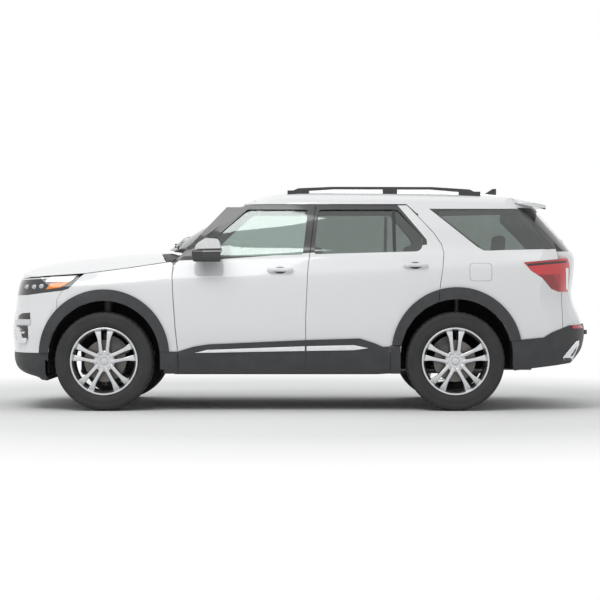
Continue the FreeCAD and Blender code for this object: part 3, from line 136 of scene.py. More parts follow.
acrossCar = Matrix.Scale(-1, 4, Vector((0, 1, 0)))
cameraView = {"place": (0.040, -15.53, 1.003), "lens": 107.85, "shiftX": -0.0092, "shiftY": -0.0213}
studio = {
    "world": 0.66, "sky": (0.95, 0.96, 0.97), "ground": (0.32, 0.33, 0.34), "horizon": 0.55,
    "floor": 0.82, "floorSize": 60, "fadeStart": 3.4, "fadeEnd": 5.5, "fadeReach": 20.0,
    "lamps": (
        # name, place, size, power and the point it looks at
        ("keyLight", (-3.5, -6.2, 9.0), (7, 4), 400.0, (0, 0, 0.8)),
        ("overLight", (1.5, 0.5, 9.0), (8, 5), 80.0, (0, 0, 1.0)),
        ("farLight", (3.0, 8.0, 5.0), (6, 4), 80.0, (0, 0, 0.8)),
    ),
}


def setCamera():
    bpy.ops.object.camera_add(location=cameraView["place"], rotation=(math.radians(90), 0, 0))
    camera = bpy.context.object
    camera.data.lens = cameraView["lens"]
    camera.data.sensor_width = 36
    camera.data.shift_x = cameraView["shiftX"]
    camera.data.shift_y = cameraView["shiftY"]
    camera.data.clip_end = 200
    bpy.context.scene.camera = camera


def areaLight(name, place, size, power, aim):
    bpy.ops.object.light_add(type="AREA", location=place)
    light = bpy.context.object
    light.name = name
    light.data.shape = "RECTANGLE"
    light.data.size = size[0]
    light.data.size_y = size[1]
    light.data.energy = power
    way = Vector(aim) - Vector(place)
    light.rotation_mode = "QUATERNION"
    light.rotation_quaternion = way.to_track_quat("-Z", "Y")


def seenRay(tree):
    # 1 for what the camera, a mirror finish or glass shows, 0 for what lights the object
    path = tree.nodes.new("ShaderNodeLightPath")
    total = path.outputs["Is Camera Ray"]
    for kind in ("Is Glossy Ray", "Is Transmission Ray"):
        total = math2(tree, "MAXIMUM", total, path.outputs[kind])
    return total


def setWorld():
    scene = bpy.context.scene
    scene.view_settings.view_transform = "Standard"
    world = bpy.data.worlds.new("studioWorld")
    scene.world = world
    world.use_nodes = True
    tree = world.node_tree
    tree.nodes.clear()
    output = tree.nodes.new("ShaderNodeOutputWorld")
    seen = tree.nodes.new("ShaderNodeBackground")
    seen.inputs["Color"].default_value = (1, 1, 1, 1)
    lit = tree.nodes.new("ShaderNodeBackground")
    lit.inputs["Strength"].default_value = studio["world"]
    place = tree.nodes.new("ShaderNodeTexCoord")
    split = tree.nodes.new("ShaderNodeSeparateXYZ")
    tree.links.new(place.outputs["Generated"], split.inputs[0])
    sky = rampOf(tree, split.outputs["Z"], studio["ground"], studio["sky"], 0.0, studio["horizon"])
    tree.links.new(sky, lit.inputs["Color"])
    mix = tree.nodes.new("ShaderNodeMixShader")
    tree.links.new(seenRay(tree), mix.inputs[0])  # the backdrop stays white
    tree.links.new(lit.outputs[0], mix.inputs[1])
    tree.links.new(seen.outputs[0], mix.inputs[2])
    tree.links.new(mix.outputs[0], output.inputs[0])


def setFloor():
    # the floor fades into the white backdrop some way from the object
    bpy.ops.mesh.primitive_circle_add(
        vertices=96, radius=studio["floorSize"], fill_type="NGON", location=(0, 0, -0.001))
    floor = settle(named("studioFloor"))
    material, tree, surface = newMaterial("floorPale", (studio["floor"],) * 3, 0.9)
    reach = node(tree, "ShaderNodeVectorMath", operation="LENGTH")
    tree.links.new(objectPlace(tree), reach.inputs[0])
    full = studio["fadeReach"]
    share = math2(tree, "DIVIDE", reach.outputs["Value"], full)
    fade = rampOf(tree, share, (0, 0, 0), (1, 1, 1), studio["fadeStart"] / full, studio["fadeEnd"] / full)
    white = node(tree, "ShaderNodeEmission")
    white.inputs["Color"].default_value = (1, 1, 1, 1)
    mix = node(tree, "ShaderNodeMixShader")
    tree.links.new(math2(tree, "MULTIPLY", fade, seenRay(tree)), mix.inputs[0])
    tree.links.new(surface.outputs[0], mix.inputs[1])
    tree.links.new(white.outputs[0], mix.inputs[2])
    tree.links.new(mix.outputs[0], tree.nodes["Material Output"].inputs[0])
    floor.data.materials.append(material)


def setStudio():
    setWorld()
    setFloor()
    for name, place, size, power, aim in studio["lamps"]:
        areaLight(name, place, size, power, aim)


def newMaterial(name, colour, roughness, metal=0.0):
    material = bpy.data.materials.new(name)
    material.use_nodes = True
    tree = material.node_tree
    surface = tree.nodes["Principled BSDF"]
    surface.inputs["Base Color"].default_value = (*colour, 1)
    surface.inputs["Roughness"].default_value = roughness
    surface.inputs["Metallic"].default_value = metal
    return material, tree, surface


def node(tree, kind, **values):
    made = tree.nodes.new(kind)
    for key, value in values.items():
        if key in made.inputs:
            made.inputs[key].default_value = value
        else:
            setattr(made, key, value)
    return made


def objectPlace(tree):
    return node(tree, "ShaderNodeTexCoord").outputs["Object"]


def noiseOf(tree, scale, detail=4.0, roughness=0.5):
    noise = node(tree, "ShaderNodeTexNoise")
    noise.inputs["Scale"].default_value = scale
    noise.inputs["Detail"].default_value = detail
    noise.inputs["Roughness"].default_value = roughness
    tree.links.new(objectPlace(tree), noise.inputs["Vector"])
    return noise.outputs["Fac"]


def bumpFrom(tree, surface, height, strength, distance):
    bump = node(tree, "ShaderNodeBump")
    bump.inputs["Strength"].default_value = strength
    bump.inputs["Distance"].default_value = distance
    tree.links.new(height, bump.inputs["Height"])
    tree.links.new(bump.outputs[0], surface.inputs["Normal"])


def rampOf(tree, value, low, high, start=0.3, end=0.7):
    ramp = node(tree, "ShaderNodeValToRGB")
    ramp.color_ramp.elements[0].position = start
    ramp.color_ramp.elements[1].position = end
    ramp.color_ramp.elements[0].color = (*low, 1)
    ramp.color_ramp.elements[1].color = (*high, 1)
    tree.links.new(value, ramp.inputs[0])
    return ramp.outputs[0]


def math2(tree, operation, a, b):
    made = node(tree, "ShaderNodeMath", operation=operation)
    for index, value in enumerate((a, b)):
        if isinstance(value, (int, float)):
            made.inputs[index].default_value = value
        else:
            tree.links.new(value, made.inputs[index])
    return made.outputs[0]


def insideOutline(tree, outline):
    # 1 inside a convex outline of the side view, 0 outside
    split = node(tree, "ShaderNodeSeparateXYZ")
    tree.links.new(objectPlace(tree), split.inputs[0])
    x, z = split.outputs["X"], split.outputs["Z"]
    area = sum(a[0] * b[1] - b[0] * a[1] for a, b in zip(outline, outline[1:] + outline[:1]))
    turn = 1 if area > 0 else -1
    total = None
    for a, b in zip(outline, outline[1:] + outline[:1]):
        nx, nz = -(b[1] - a[1]) * turn, (b[0] - a[0]) * turn
        reach = nx * a[0] + nz * a[1]
        side = math2(tree, "ADD", math2(tree, "MULTIPLY", x, nx), math2(tree, "MULTIPLY", z, nz))
        here = math2(tree, "GREATER_THAN", side, reach)
        total = here if total is None else math2(tree, "MULTIPLY", total, here)
    return total


paintLook = {"colour": (0.83, 0.835, 0.84), "roughness": 0.34, "coat": 0.85, "coatRoughness": 0.05}
trimBlack = (0.012, 0.012, 0.013)
seamGrey = (0.16, 0.16, 0.165)


def leftOnly(tree, mask):
    split = node(tree, "ShaderNodeSeparateXYZ")
    tree.links.new(objectPlace(tree), split.inputs[0])
    return math2(tree, "MULTIPLY", mask, math2(tree, "LESS_THAN", split.outputs["Y"], 0.0))


def overlaid(tree, colour, mask, tone):
    mix = node(tree, "ShaderNodeMix", data_type="RGBA")
    tree.links.new(mask, mix.inputs[0])
    tree.links.new(colour, mix.inputs[6])
    mix.inputs[7].default_value = (*tone, 1)
    return mix.outputs[2]


def ringOf(tree, outline, width):
    # the line of an outline, as wide as asked
    middle = [sum(p[i] for p in outline) / len(outline) for i in (0, 1)]
    inner = []
    for x, z in outline:
        far = math.hypot(x - middle[0], z - middle[1])
        share = (far - width) / far
        inner.append((middle[0] + (x - middle[0]) * share, middle[1] + (z - middle[1]) * share))
    return math2(tree, "SUBTRACT", insideOutline(tree, outline), insideOutline(tree, inner))


def bodyPaint(name, darkOutlines=(), seams=()):
    material, tree, surface = newMaterial(name, paintLook["colour"], paintLook["roughness"])
    surface.inputs["Coat Weight"].default_value = paintLook["coat"]
    surface.inputs["Coat Roughness"].default_value = paintLook["coatRoughness"]
    base = paintLook["colour"]
    colour = rampOf(tree, noiseOf(tree, 900, 2), [c * 0.985 for c in base], base)
    for outline in darkOutlines:
        colour = overlaid(tree, colour, insideOutline(tree, outline), trimBlack)
    for outline in seams:
        colour = overlaid(tree, colour, leftOnly(tree, ringOf(tree, outline, 0.0035)), seamGrey)
    tree.links.new(colour, surface.inputs["Base Color"])
    bumpFrom(tree, surface, noiseOf(tree, 260, 3), 0.015, 0.0006)  # faint orange peel
    return material


def zonedPlastic(name, base, zones, roughness):
    # a glossy moulding with zones of other colours, each a convex outline of the side view
    material, tree, surface = newMaterial(name, base, roughness)
    surface.inputs["Coat Weight"].default_value = 0.8
    surface.inputs["Coat Roughness"].default_value = 0.04
    colour = rampOf(tree, noiseOf(tree, 60, 3), [c * 0.9 for c in base], base)
    for outline, tone in zones:
        colour = overlaid(tree, colour, insideOutline(tree, outline), tone)
    tree.links.new(colour, surface.inputs["Base Color"])
    return material


def grainedPlastic(name, colour, roughness, scale=1400, depth=0.35):
    material, tree, surface = newMaterial(name, colour, roughness)
    tone = rampOf(tree, noiseOf(tree, 9, 5), [c * 0.85 for c in colour], [min(c * 1.2, 1) for c in colour])
    tree.links.new(tone, surface.inputs["Base Color"])
    cells = node(tree, "ShaderNodeTexVoronoi")
    cells.inputs["Scale"].default_value = scale
    tree.links.new(objectPlace(tree), cells.inputs["Vector"])
    bumpFrom(tree, surface, cells.outputs["Distance"], depth, 0.0008)
    return material


def glossPlastic(name, colour, roughness=0.12):
    material, tree, surface = newMaterial(name, colour, roughness)
    surface.inputs["Coat Weight"].default_value = 0.6
    surface.inputs["Coat Roughness"].default_value = 0.05
    tone = rampOf(tree, noiseOf(tree, 40, 3), [c * 0.9 for c in colour], [min(c * 1.1, 1) for c in colour])
    tree.links.new(tone, surface.inputs["Base Color"])
    return material


def metalLook(name, colour, roughness, spread=0.06, scale=60):
    material, tree, surface = newMaterial(name, colour, roughness, 1.0)
    value = rampOf(tree, noiseOf(tree, scale, 6), (roughness - spread,) * 3, (roughness + spread,) * 3)
    tree.links.new(value, surface.inputs["Roughness"])
    tone = rampOf(tree, noiseOf(tree, scale / 3, 3), [c * 0.93 for c in colour], colour)
    tree.links.new(tone, surface.inputs["Base Color"])
    return material


def castLook(name, colour):
    material, tree, surface = newMaterial(name, colour, 0.6, 0.7)
    tone = rampOf(tree, noiseOf(tree, 14, 6), [c * 0.6 for c in colour], [c * 1.25 for c in colour])
    tree.links.new(tone, surface.inputs["Base Color"])
    bumpFrom(tree, surface, noiseOf(tree, 500, 5), 0.3, 0.001)
    return material


def glassLook(name, tint, density):
    # a thin tinted pane: part clear, part glossy
    material, tree, surface = newMaterial(name, tint, 0.0)
    clear = node(tree, "ShaderNodeBsdfTransparent")
    clear.inputs["Color"].default_value = (*[1 - (1 - c) * density for c in tint], 1)
    gloss = node(tree, "ShaderNodeBsdfGlossy")
    gloss.inputs["Roughness"].default_value = 0.02
    gloss.inputs["Color"].default_value = (0.9, 0.93, 0.92, 1)
    fresnel = node(tree, "ShaderNodeFresnel")
    fresnel.inputs["IOR"].default_value = 1.5
    lift = math2(tree, "ADD", fresnel.outputs[0], 0.05)
    mix = node(tree, "ShaderNodeMixShader")
    tree.links.new(lift, mix.inputs[0])
    tree.links.new(clear.outputs[0], mix.inputs[1])
    tree.links.new(gloss.outputs[0], mix.inputs[2])
    output = tree.nodes["Material Output"]
    tree.links.new(mix.outputs[0], output.inputs[0])
    tree.nodes.remove(surface)
    return material


# outlines are points (x, z) of the side view, always convex
windowOutline = [
    (-1.120, 1.198), (-0.500, 1.684), (0.795, 1.684), (1.030, 1.393), (1.034, 1.345), (0.968, 1.288),
    (0.086, 1.256), (-0.640, 1.232),
]
pillarOutline = [(-1.290, 1.185), (-0.950, 1.185), (-0.395, 1.690), (-0.640, 1.705)]
quarterOutline = [(1.058, 1.650), (1.914, 1.650), (2.160, 1.318), (1.494, 1.302), (1.440, 1.334)]
backlightOutline = [(1.700, 1.660), (2.030, 1.660), (2.320, 1.300), (1.700, 1.288)]
underOutline = [(-3.0, 0.10), (3.0, 0.10), (3.0, 0.475), (-3.0, 0.475)]
fuelOutline = [
    (1.395, 1.053), (1.528, 1.053), (1.545, 1.060), (1.552, 1.078), (1.552, 1.172), (1.545, 1.190),
    (1.528, 1.199), (1.395, 1.199), (1.378, 1.190), (1.371, 1.172), (1.371, 1.078), (1.378, 1.060),
]
ventOutline = [(-2.266, 0.690), (-2.160, 0.690), (-2.160, 0.594), (-2.235, 0.600)]
mirrorFoot = [(-1.2, 1.10), (-0.5, 1.10), (-0.5, 1.318), (-1.2, 1.306)]
mirrorStrip = [(-1.2, 1.284), (-0.5, 1.292), (-0.5, 1.299), (-1.2, 1.291)]
brightTone = (0.62, 0.63, 0.64)
grilleBars = {"heights": (0.836, 0.912, 0.988), "half": 0.0125}
lampZones = [
    ([(1.72, 1.185), (2.40, 1.215), (2.40, 1.115), (1.86, 1.105)], (0.66, 0.022, 0.030)),
    ([(2.115, 1.24), (2.190, 1.24), (2.200, 0.95), (2.125, 0.95)], (0.72, 0.030, 0.038)),
    ([(1.93, 1.103), (2.060, 1.104), (2.112, 1.000), (2.110, 0.985), (2.040, 0.990)], (0.30, 0.006, 0.010)),
]


def bandOutline(z, half):
    return [(-3.0, z - half), (3.0, z - half), (3.0, z + half), (-3.0, z + half)]


grilleZones = [(bandOutline(z, grilleBars["half"]), brightTone) for z in grilleBars["heights"]]
sideGlass = [windowOutline, pillarOutline, quarterOutline, underOutline]
mirrorZones = [(mirrorFoot, trimBlack), (mirrorStrip, brightTone)]
looks = {
    "paint": bodyPaint("whitePaint"),
    "doorPaint": bodyPaint("whitePaintDoors", [windowOutline]),
    "sidePaint": bodyPaint("whitePaintSides", sideGlass, [fuelOutline]),
    "tailPaint": bodyPaint("whitePaintTail", [backlightOutline]),
    "ventPaint": bodyPaint("whitePaintVents", [ventOutline]),
    "mirrorPaint": zonedPlastic("mirrorShell", paintLook["colour"], mirrorZones, 0.2),
    "grilleMix": zonedPlastic("grilleMix", (0.02, 0.02, 0.021), grilleZones, 0.16),
    "cladding": grainedPlastic("darkCladding", (0.042, 0.043, 0.045), 0.55),
    "gloss_black": glossPlastic("glossBlack", (0.012, 0.012, 0.013)),
    "underbody": grainedPlastic("underbodyPaint", (0.02, 0.02, 0.021), 0.8, 500),
    "liner_plastic": grainedPlastic("feltedLiner", (0.008, 0.008, 0.008), 0.95, 700, 0.6),
    "interior_plastic": grainedPlastic("cabinPlastic", (0.07, 0.07, 0.073), 0.6, 1100),
    "grille_metal": metalLook("satinBrightMetal", (0.62, 0.63, 0.64), 0.16, 0.04),
    "chrome": metalLook("brightChrome", (0.83, 0.84, 0.85), 0.08, 0.02),
    "lampHousing": glossPlastic("lampHousing", (0.022, 0.023, 0.026), 0.2),
    "lampSilver": metalLook("lampSilver", (0.72, 0.74, 0.76), 0.2, 0.04),
    "lampPod": glossPlastic("lampPod", (0.55, 0.58, 0.62), 0.06),
    "amber": glossPlastic("amberReflector", (0.90, 0.26, 0.02), 0.14),
    "lampRed": zonedPlastic("lampRed", (0.50, 0.010, 0.016), lampZones, 0.08),
    "reflectorRed": glossPlastic("reflectorRed", (0.55, 0.012, 0.018), 0.12),
    "glass_clear": glassLook("windowGlass", (0.68, 0.74, 0.715), 0.9),
    "glass_dark": glassLook("privacyGlass", (0.56, 0.60, 0.58), 0.94),
    "exhaust_steel": metalLook("exhaustSteel", (0.42, 0.40, 0.38), 0.35, 0.1),
    "cast_metal": castLook("castMetal", (0.12, 0.12, 0.12)),
    "seat_cloth": grainedPlastic("seatClothBase", (0.24, 0.235, 0.22), 0.85, 900),
    "tyre": grainedPlastic("tyreRubber", (0.030, 0.030, 0.031), 0.75, 420, 0.25),
    "wheel_alloy": metalLook("wheelAlloy", (0.66, 0.67, 0.68), 0.30, 0.05, 30),
    # painted shade: a near-black look for the ring that darkens the inside of the wheel barrel
    "wheelPaintedShade": grainedPlastic("wheelPaintedShade", (0.012, 0.012, 0.012), 0.8, 500),
    "discSteel": metalLook("discSteel", (0.17, 0.16, 0.15), 0.4, 0.08, 20),
    # painted shade: a dark grey for the shadow in the door handle recess
    "handleRecessShade": glossPlastic("handleRecessShade", (0.10, 0.10, 0.105), 0.3),
}
ownLooks = {
    "body_sides": "sidePaint", "tailgate": "tailPaint", "bumper_vents": "ventPaint", "grille": "grilleMix",
    "headlamps": "lampHousing", "tail_lamps": "lampRed",
    "mirror_left": "mirrorPaint", "mirror_right": "mirrorPaint",
}


def dressFrame():
    slots = {part["node"]: part["material_slot"] for part in frame["record"]["subparts"]}
    for name, piece in nodes.items():
        look = slots[name]
        if look == "paint" and "door" in name:
            look = "doorPaint"
        look = ownLooks.get(name, look)
        piece.data.materials.clear()
        piece.data.materials.append(looks[look])


dressFrame()
setCamera()
setStudio()
print("materials and studio set")

hubs = {"front": Vector((-1.595, -0.85, 0.402)), "rear": Vector((1.257, -0.85, 0.402))}
# profiles hold (radius, offset outwards from the middle of the wheel)
tyreShape = {
    "sides": 144,
    "shoulder": [
        (0.2684, 0.1028), (0.275, 0.1095), (0.290, 0.1145), (0.296, 0.1195), (0.312, 0.1235),
        (0.330, 0.1268), (0.334, 0.1258), (0.352, 0.1256), (0.356, 0.1268), (0.372, 0.1245),
        (0.384, 0.1190), (0.391, 0.1120), (0.3965, 0.1010), (0.3995, 0.0880),
    ],
    "tread": [
        (0.4005, 0.0780), (0.3925, 0.0770), (0.3925, 0.0680), (0.4010, 0.0670), (0.4018, 0.0330),
        (0.3930, 0.0320), (0.3930, 0.0210), (0.4018, 0.0200), (0.4019, 0.0),
    ],
    "block": 2.5, "grooveDepth": 0.006,
    "shoulderGrooves": {"radius": 0.3935, "from": 0.078, "to": 0.112},
    "ribGrooves": {"radius": 0.3985, "from": 0.034, "to": 0.066},
}
rimShape = {
    "barrelSides": 120, "hubSides": 96, "cupSides": 20,
    "barrel": [
        (0.2738, 0.1150), (0.2700, 0.1165), (0.2610, 0.1150), (0.2560, 0.1060), (0.2500, 0.0980),
        (0.2440, 0.0700), (0.2420, 0.0300), (0.2420, -0.0670), (0.2600, -0.1080), (0.2738, -0.1150),
        (0.2738, -0.1100), (0.2680, -0.1030), (0.2680, 0.1030), (0.2738, 0.1095), (0.2738, 0.1150),
    ],
    "hub": [
        (0.0001, 0.097), (0.020, 0.0965), (0.030, 0.094), (0.032, 0.090), (0.034, 0.094), (0.048, 0.095),
        (0.072, 0.093), (0.084, 0.086), (0.088, 0.050), (0.088, 0.034), (0.031, 0.034), (0.031, 0.060),
        (0.0001, 0.060),
    ],
    "spokePairs": 5, "armOffset": 0.0255, "armPlace": (0, -0.078, 0.062), "armStart": (0.032, 0.046, 0.02),
    "armSteps": [
        # rise, slide, size and step forward of each length of the arm
        (0.033, 0.003, 0.88, 0.0060), (0.045, 0.005, 1.02, 0.0030), (0.040, 0.006, 1.22, 0.0010),
        (0.030, 0.006, 1.30, -0.0020), (0.026, 0.005, 1.22, -0.0050),
    ],
    "armBevel": 0.0055,
    "lugHoles": 10, "lugCircle": 0.068,
    "lugCup": [
        (0.0001, 0.088), (0.006, 0.090), (0.0105, 0.090), (0.0105, 0.100), (0.0125, 0.1005), (0.0135, 0.099),
        (0.0135, 0.085),
    ],
}
brakeShape = {
    "sides": 96,
    # shade is a thin dark ring just inside the barrel, painted shade for the shadowed inside of the rim
    "shade": [(0.2412, 0.060), (0.2412, -0.030), (0.2416, -0.030), (0.2416, 0.060), (0.2412, 0.060)],
    "disc": [
        (0.078, 0.006), (0.171, 0.006), (0.172, 0.004), (0.172, -0.018), (0.171, -0.020), (0.078, -0.020),
        (0.078, -0.018), (0.078, 0.030), (0.074, 0.034), (0.031, 0.034), (0.031, 0.004), (0.060, 0.004),
        (0.078, 0.006),
    ],
}


def turnedRing(name, hub, profile, segments, closed=True):
    # a circle is drawn out ring by ring along the profile
    clearSelection()
    radius, offset = profile[0]
    bpy.ops.mesh.primitive_circle_add(
        vertices=segments, radius=radius, location=hub + Vector((0, -offset, 0)),
        rotation=(math.radians(90), 0, 0))
    piece = settle(named(name))
    bpy.ops.object.mode_set(mode="EDIT")
    bpy.ops.mesh.select_all(action="SELECT")
    for (r0, o0), (r1, o1) in zip(profile, profile[1:]):
        bpy.ops.mesh.extrude_edges_move(TRANSFORM_OT_translate={"value": (0, o0 - o1, 0)})
        if abs(r1 - r0) > 1e-6:
            bpy.ops.transform.resize(
                value=(r1 / r0, 1, r1 / r0), center_override=hub, orient_type="GLOBAL",
                constraint_axis=(True, False, True))
    bpy.ops.mesh.select_all(action="SELECT")
    if closed:
        bpy.ops.mesh.remove_doubles(threshold=0.00002)
    bpy.ops.mesh.normals_make_consistent(inside=False)
    bpy.ops.object.mode_set(mode="OBJECT")
    return piece


def makeTyre(hub):
    half = tyreShape["shoulder"] + tyreShape["tread"]
    profile = half + [(radius, -offset) for radius, offset in reversed(half[:-1])]
    profile += half[:1]
    return turnedRing("tyreRing", hub, profile, tyreShape["sides"])


def cutTreadBlocks(tyre, hub):
    # short grooves pressed into the shoulders and the tread ribs
    outer, rib = tyreShape["shoulderGrooves"], tyreShape["ribGrooves"]
    focus(tyre)
    selectNothing()
    for face in tyre.data.polygons:
        place = face.center - hub
        radius = math.hypot(place.x, place.z)
        turn = math.degrees(math.atan2(place.z, place.x)) % 360
        step = int(turn / tyreShape["block"])
        wide = abs(place.y)
        if radius > outer["radius"] and outer["from"] < wide < outer["to"] and step % 3 == 0:
            face.select = True
        if radius > rib["radius"] and rib["from"] < wide < rib["to"] and step % 4 == 1:
            face.select = True
    bpy.ops.object.mode_set(mode="EDIT")
    bpy.ops.mesh.extrude_region_shrink_fatten(TRANSFORM_OT_shrink_fatten={"value": -tyreShape["grooveDepth"]})
    bpy.ops.mesh.select_all(action="DESELECT")
    bpy.ops.object.mode_set(mode="OBJECT")
    return tyre


def aroundHub(hub, matrix):
    return Matrix.Translation(hub) @ matrix @ Matrix.Translation(-hub)


def makeSpoke(hub, lean):
    # one arm of a pair: drawn out from the hub and widened towards the rim
    clearSelection()
    bpy.ops.mesh.primitive_cube_add(size=1, location=hub + Vector(rimShape["armPlace"]))
    piece = named("spokeArm")
    piece.scale = rimShape["armStart"]
    settle(piece)
    selectNothing()
    for face in piece.data.polygons:
        face.select = face.normal.z > 0.9
    bpy.ops.object.mode_set(mode="EDIT")
    for rise, slide, size, forward in rimShape["armSteps"]:
        bpy.ops.mesh.extrude_region_move(TRANSFORM_OT_translate={"value": (slide, -forward, rise)})
        bpy.ops.transform.resize(value=(size, 0.95, 1))
    bpy.ops.object.mode_set(mode="OBJECT")
    for vertex in piece.data.vertices:
        vertex.co.x += lean * rimShape["armOffset"]
    piece.data.update()
    bevelled(piece, rimShape["armBevel"], 3, 40)
    return smoothed(piece, 40)


def makeWheelFace(hub):
    arms = []
    right = makeSpoke(hub, 1)
    left = copied(right, "spokeArm", aroundHub(hub, Matrix.Scale(-1, 4, Vector((1, 0, 0)))))
    pair = joined([right, left], "spokePair")
    for i in range(rimShape["spokePairs"]):
        turn = math.radians(360 / rimShape["spokePairs"] * i)
        arms.append(copied(pair, "spokePair", aroundHub(hub, Matrix.Rotation(turn, 4, "Y"))))
    focus(pair)
    bpy.ops.object.delete()
    arms.append(turnedRing("hubDisc", hub, rimShape["hub"], rimShape["hubSides"]))
    for i in range(rimShape["lugHoles"]):
        turn = math.radians(360 / rimShape["lugHoles"] * i)
        ring = rimShape["lugCircle"]
        place = hub + Vector((ring * math.sin(turn), 0, ring * math.cos(turn)))
        arms.append(turnedRing("lugCup", place, rimShape["lugCup"], rimShape["cupSides"], False))
    return smoothed(joined(arms, "wheelFace"), 32)


def makeWheels():
    hub = hubs["front"]
    tyre = smoothed(cutTreadBlocks(makeTyre(hub), hub), 28)
    barrel = smoothed(turnedRing("rimBarrel", hub, rimShape["barrel"], rimShape["barrelSides"]), 30)
    face = makeWheelFace(hub)
    disc = smoothed(turnedRing("brakeDisc", hub, brakeShape["disc"], brakeShape["sides"]), 30)
    # the dark ring inside the barrel is painted shade, not a part of the wheel
    shade = smoothed(turnedRing("barrelPaintedShade", hub, brakeShape["shade"], brakeShape["sides"]), 30)
    rim = joined([barrel, face], "wheelRim")
    sets = (
        # piece, name, look, slot, node it stands for
        (tyre, "tyreTread", "tyre", "tyre", "tyre_"),
        (rim, "wheelAlloy", "wheel_alloy", "wheel_alloy", "rim_"),
        (disc, "brakeDisc", "discSteel", "cast_metal", None),
        (shade, "barrelPaintedShade", "wheelPaintedShade", None, None),
    )
    toRear = Matrix.Translation(hubs["rear"] - hub)
    for end, move in (("front", Matrix.Identity(4)), ("rear", toRear)):
        for hand, turn in (("left", Matrix.Identity(4)), ("right", acrossCar)):
            body = "wheel_" + end + "_" + hand
            for piece, name, look, slot, stands in sets:
                twin = copied(piece, name + end.title() + hand.title(), turn @ move)
                dressed(twin, looks[look], body)
                smoothed(twin, 30)
                if stands:
                    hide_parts(stands + end + "_" + hand)
    clearSelection()
    for piece in (tyre, rim, disc, shade):
        piece.select_set(True)
    bpy.ops.object.delete()


makeWheels()
print("wheels made")


def skinAt(target, x, z):
    # where a line across the car meets the left outside of a piece
    hit, place, normal, index = target.ray_cast(Vector((x, -3, z)), Vector((0, 1, 0)))
    return place if hit else None


def noseAt(target, y, z):
    hit, place, normal, index = target.ray_cast(Vector((-4, y, z)), Vector((1, 0, 0)))
    return place if hit else None


def topAt(target, x, y):
    hit, place, normal, index = target.ray_cast(Vector((x, y, 3)), Vector((0, 0, -1)))
    return place if hit else None


def trimMissed(piece, missed):
    # what found no skin behind it goes away
    selectNothing()
    for vertex, gone in zip(piece.data.vertices, missed):
        vertex.select = gone
    bpy.ops.object.mode_set(mode="EDIT")
    bpy.ops.mesh.select_mode(type="VERT")
    bpy.ops.mesh.delete(type="VERT")
    bpy.ops.object.mode_set(mode="OBJECT")


def skinPatch(name, target, outline, lift, thickness, cells, way="Y", bevel=0.0):
    # a sheet cut to a convex outline, laid on the left side (Y) or the tail (-X) of a piece
    clearSelection()
    onSide = way == "Y"
    low = [min(p[i] for p in outline) - 0.01 for i in (0, 1)]
    high = [max(p[i] for p in outline) + 0.01 for i in (0, 1)]
    middle = [(a + b) / 2 for a, b in zip(low, high)]
    start = -1.6 if onSide else 3.4
    across = (middle[0], start, middle[1]) if onSide else (start, middle[0], middle[1])
    turn = (math.radians(90), 0, 0) if onSide else (math.radians(90), 0, math.radians(90))
    bpy.ops.mesh.primitive_grid_add(
        x_subdivisions=cells[0], y_subdivisions=cells[1], size=1, location=across, rotation=turn)
    piece = named(name)
    piece.scale = (high[0] - low[0], high[1] - low[1], 1)
    settle(piece)
    area = sum(a[0] * b[1] - b[0] * a[1] for a, b in zip(outline, outline[1:] + outline[:1]))
    sign = 1 if area > 0 else -1
    bpy.ops.object.mode_set(mode="EDIT")
    for a, b in zip(outline, outline[1:] + outline[:1]):
        out = ((b[1] - a[1]) * sign, -(b[0] - a[0]) * sign)
        place = (a[0], 0, a[1]) if onSide else (0, a[0], a[1])
        normal = (out[0], 0, out[1]) if onSide else (0, out[0], out[1])
        bpy.ops.mesh.select_all(action="SELECT")
        bpy.ops.mesh.bisect(plane_co=place, plane_no=normal, clear_outer=True)
    bpy.ops.object.mode_set(mode="OBJECT")
    finishWith(piece, "SHRINKWRAP", wrap_method="PROJECT", target=target, offset=lift,
               use_project_x=not onSide, use_project_y=onSide, use_project_z=False,
               use_positive_direction=onSide, use_negative_direction=not onSide)
    missed = [abs((vertex.co.y if onSide else vertex.co.x) - start) < 0.01 for vertex in piece.data.vertices]
    if any(missed):
        trimMissed(piece, missed)
    turnTowards(piece, Vector((0, -1, 0)) if onSide else Vector((1, 0, 0)))
    finishWith(piece, "SOLIDIFY", thickness=thickness, offset=1, use_even_offset=True)
    if bevel:
        bevelled(piece, bevel, 3, 50)
    return smoothed(piece, 35)


def turnTowards(piece, outside):
    # the faces of an open sheet look outwards before it gets its thickness
    facing = sum((face.normal.dot(outside) * face.area for face in piece.data.polygons), 0.0)
    if facing < 0:
        flipped(piece)


def sheetThrough(name, rows, thickness):
    # a grid whose points are put where the rows say, then given a thickness
    clearSelection()
    bpy.ops.mesh.primitive_grid_add(x_subdivisions=len(rows[0]) - 1, y_subdivisions=len(rows) - 1, size=1)
    piece = named(name)
    places = [place for row in rows for place in row]
    for vertex, place in zip(piece.data.vertices, places):
        vertex.co = place
    piece.data.update()
    turnTowards(piece, Vector((0, 0, 1)))
    finishWith(piece, "SOLIDIFY", thickness=thickness, offset=-1)
    return smoothed(piece, 50)


def both(piece, look, bodies):
    # the left piece and its mirror image; bodies are the two bodies they ride on
    twin = copied(piece, piece.name + "Right", acrossCar)
    smoothed(twin, 35)
    dressed(piece, looks[look], bodies[0])
    dressed(twin, looks[look], bodies[1])


def softBlock(name, place, size, bevel, segments):
    clearSelection()
    bpy.ops.mesh.primitive_cube_add(size=1, location=place)
    piece = named(name)
    piece.scale = size
    settle(piece)
    bevelled(piece, bevel, segments)
    return smoothed(piece, 40)


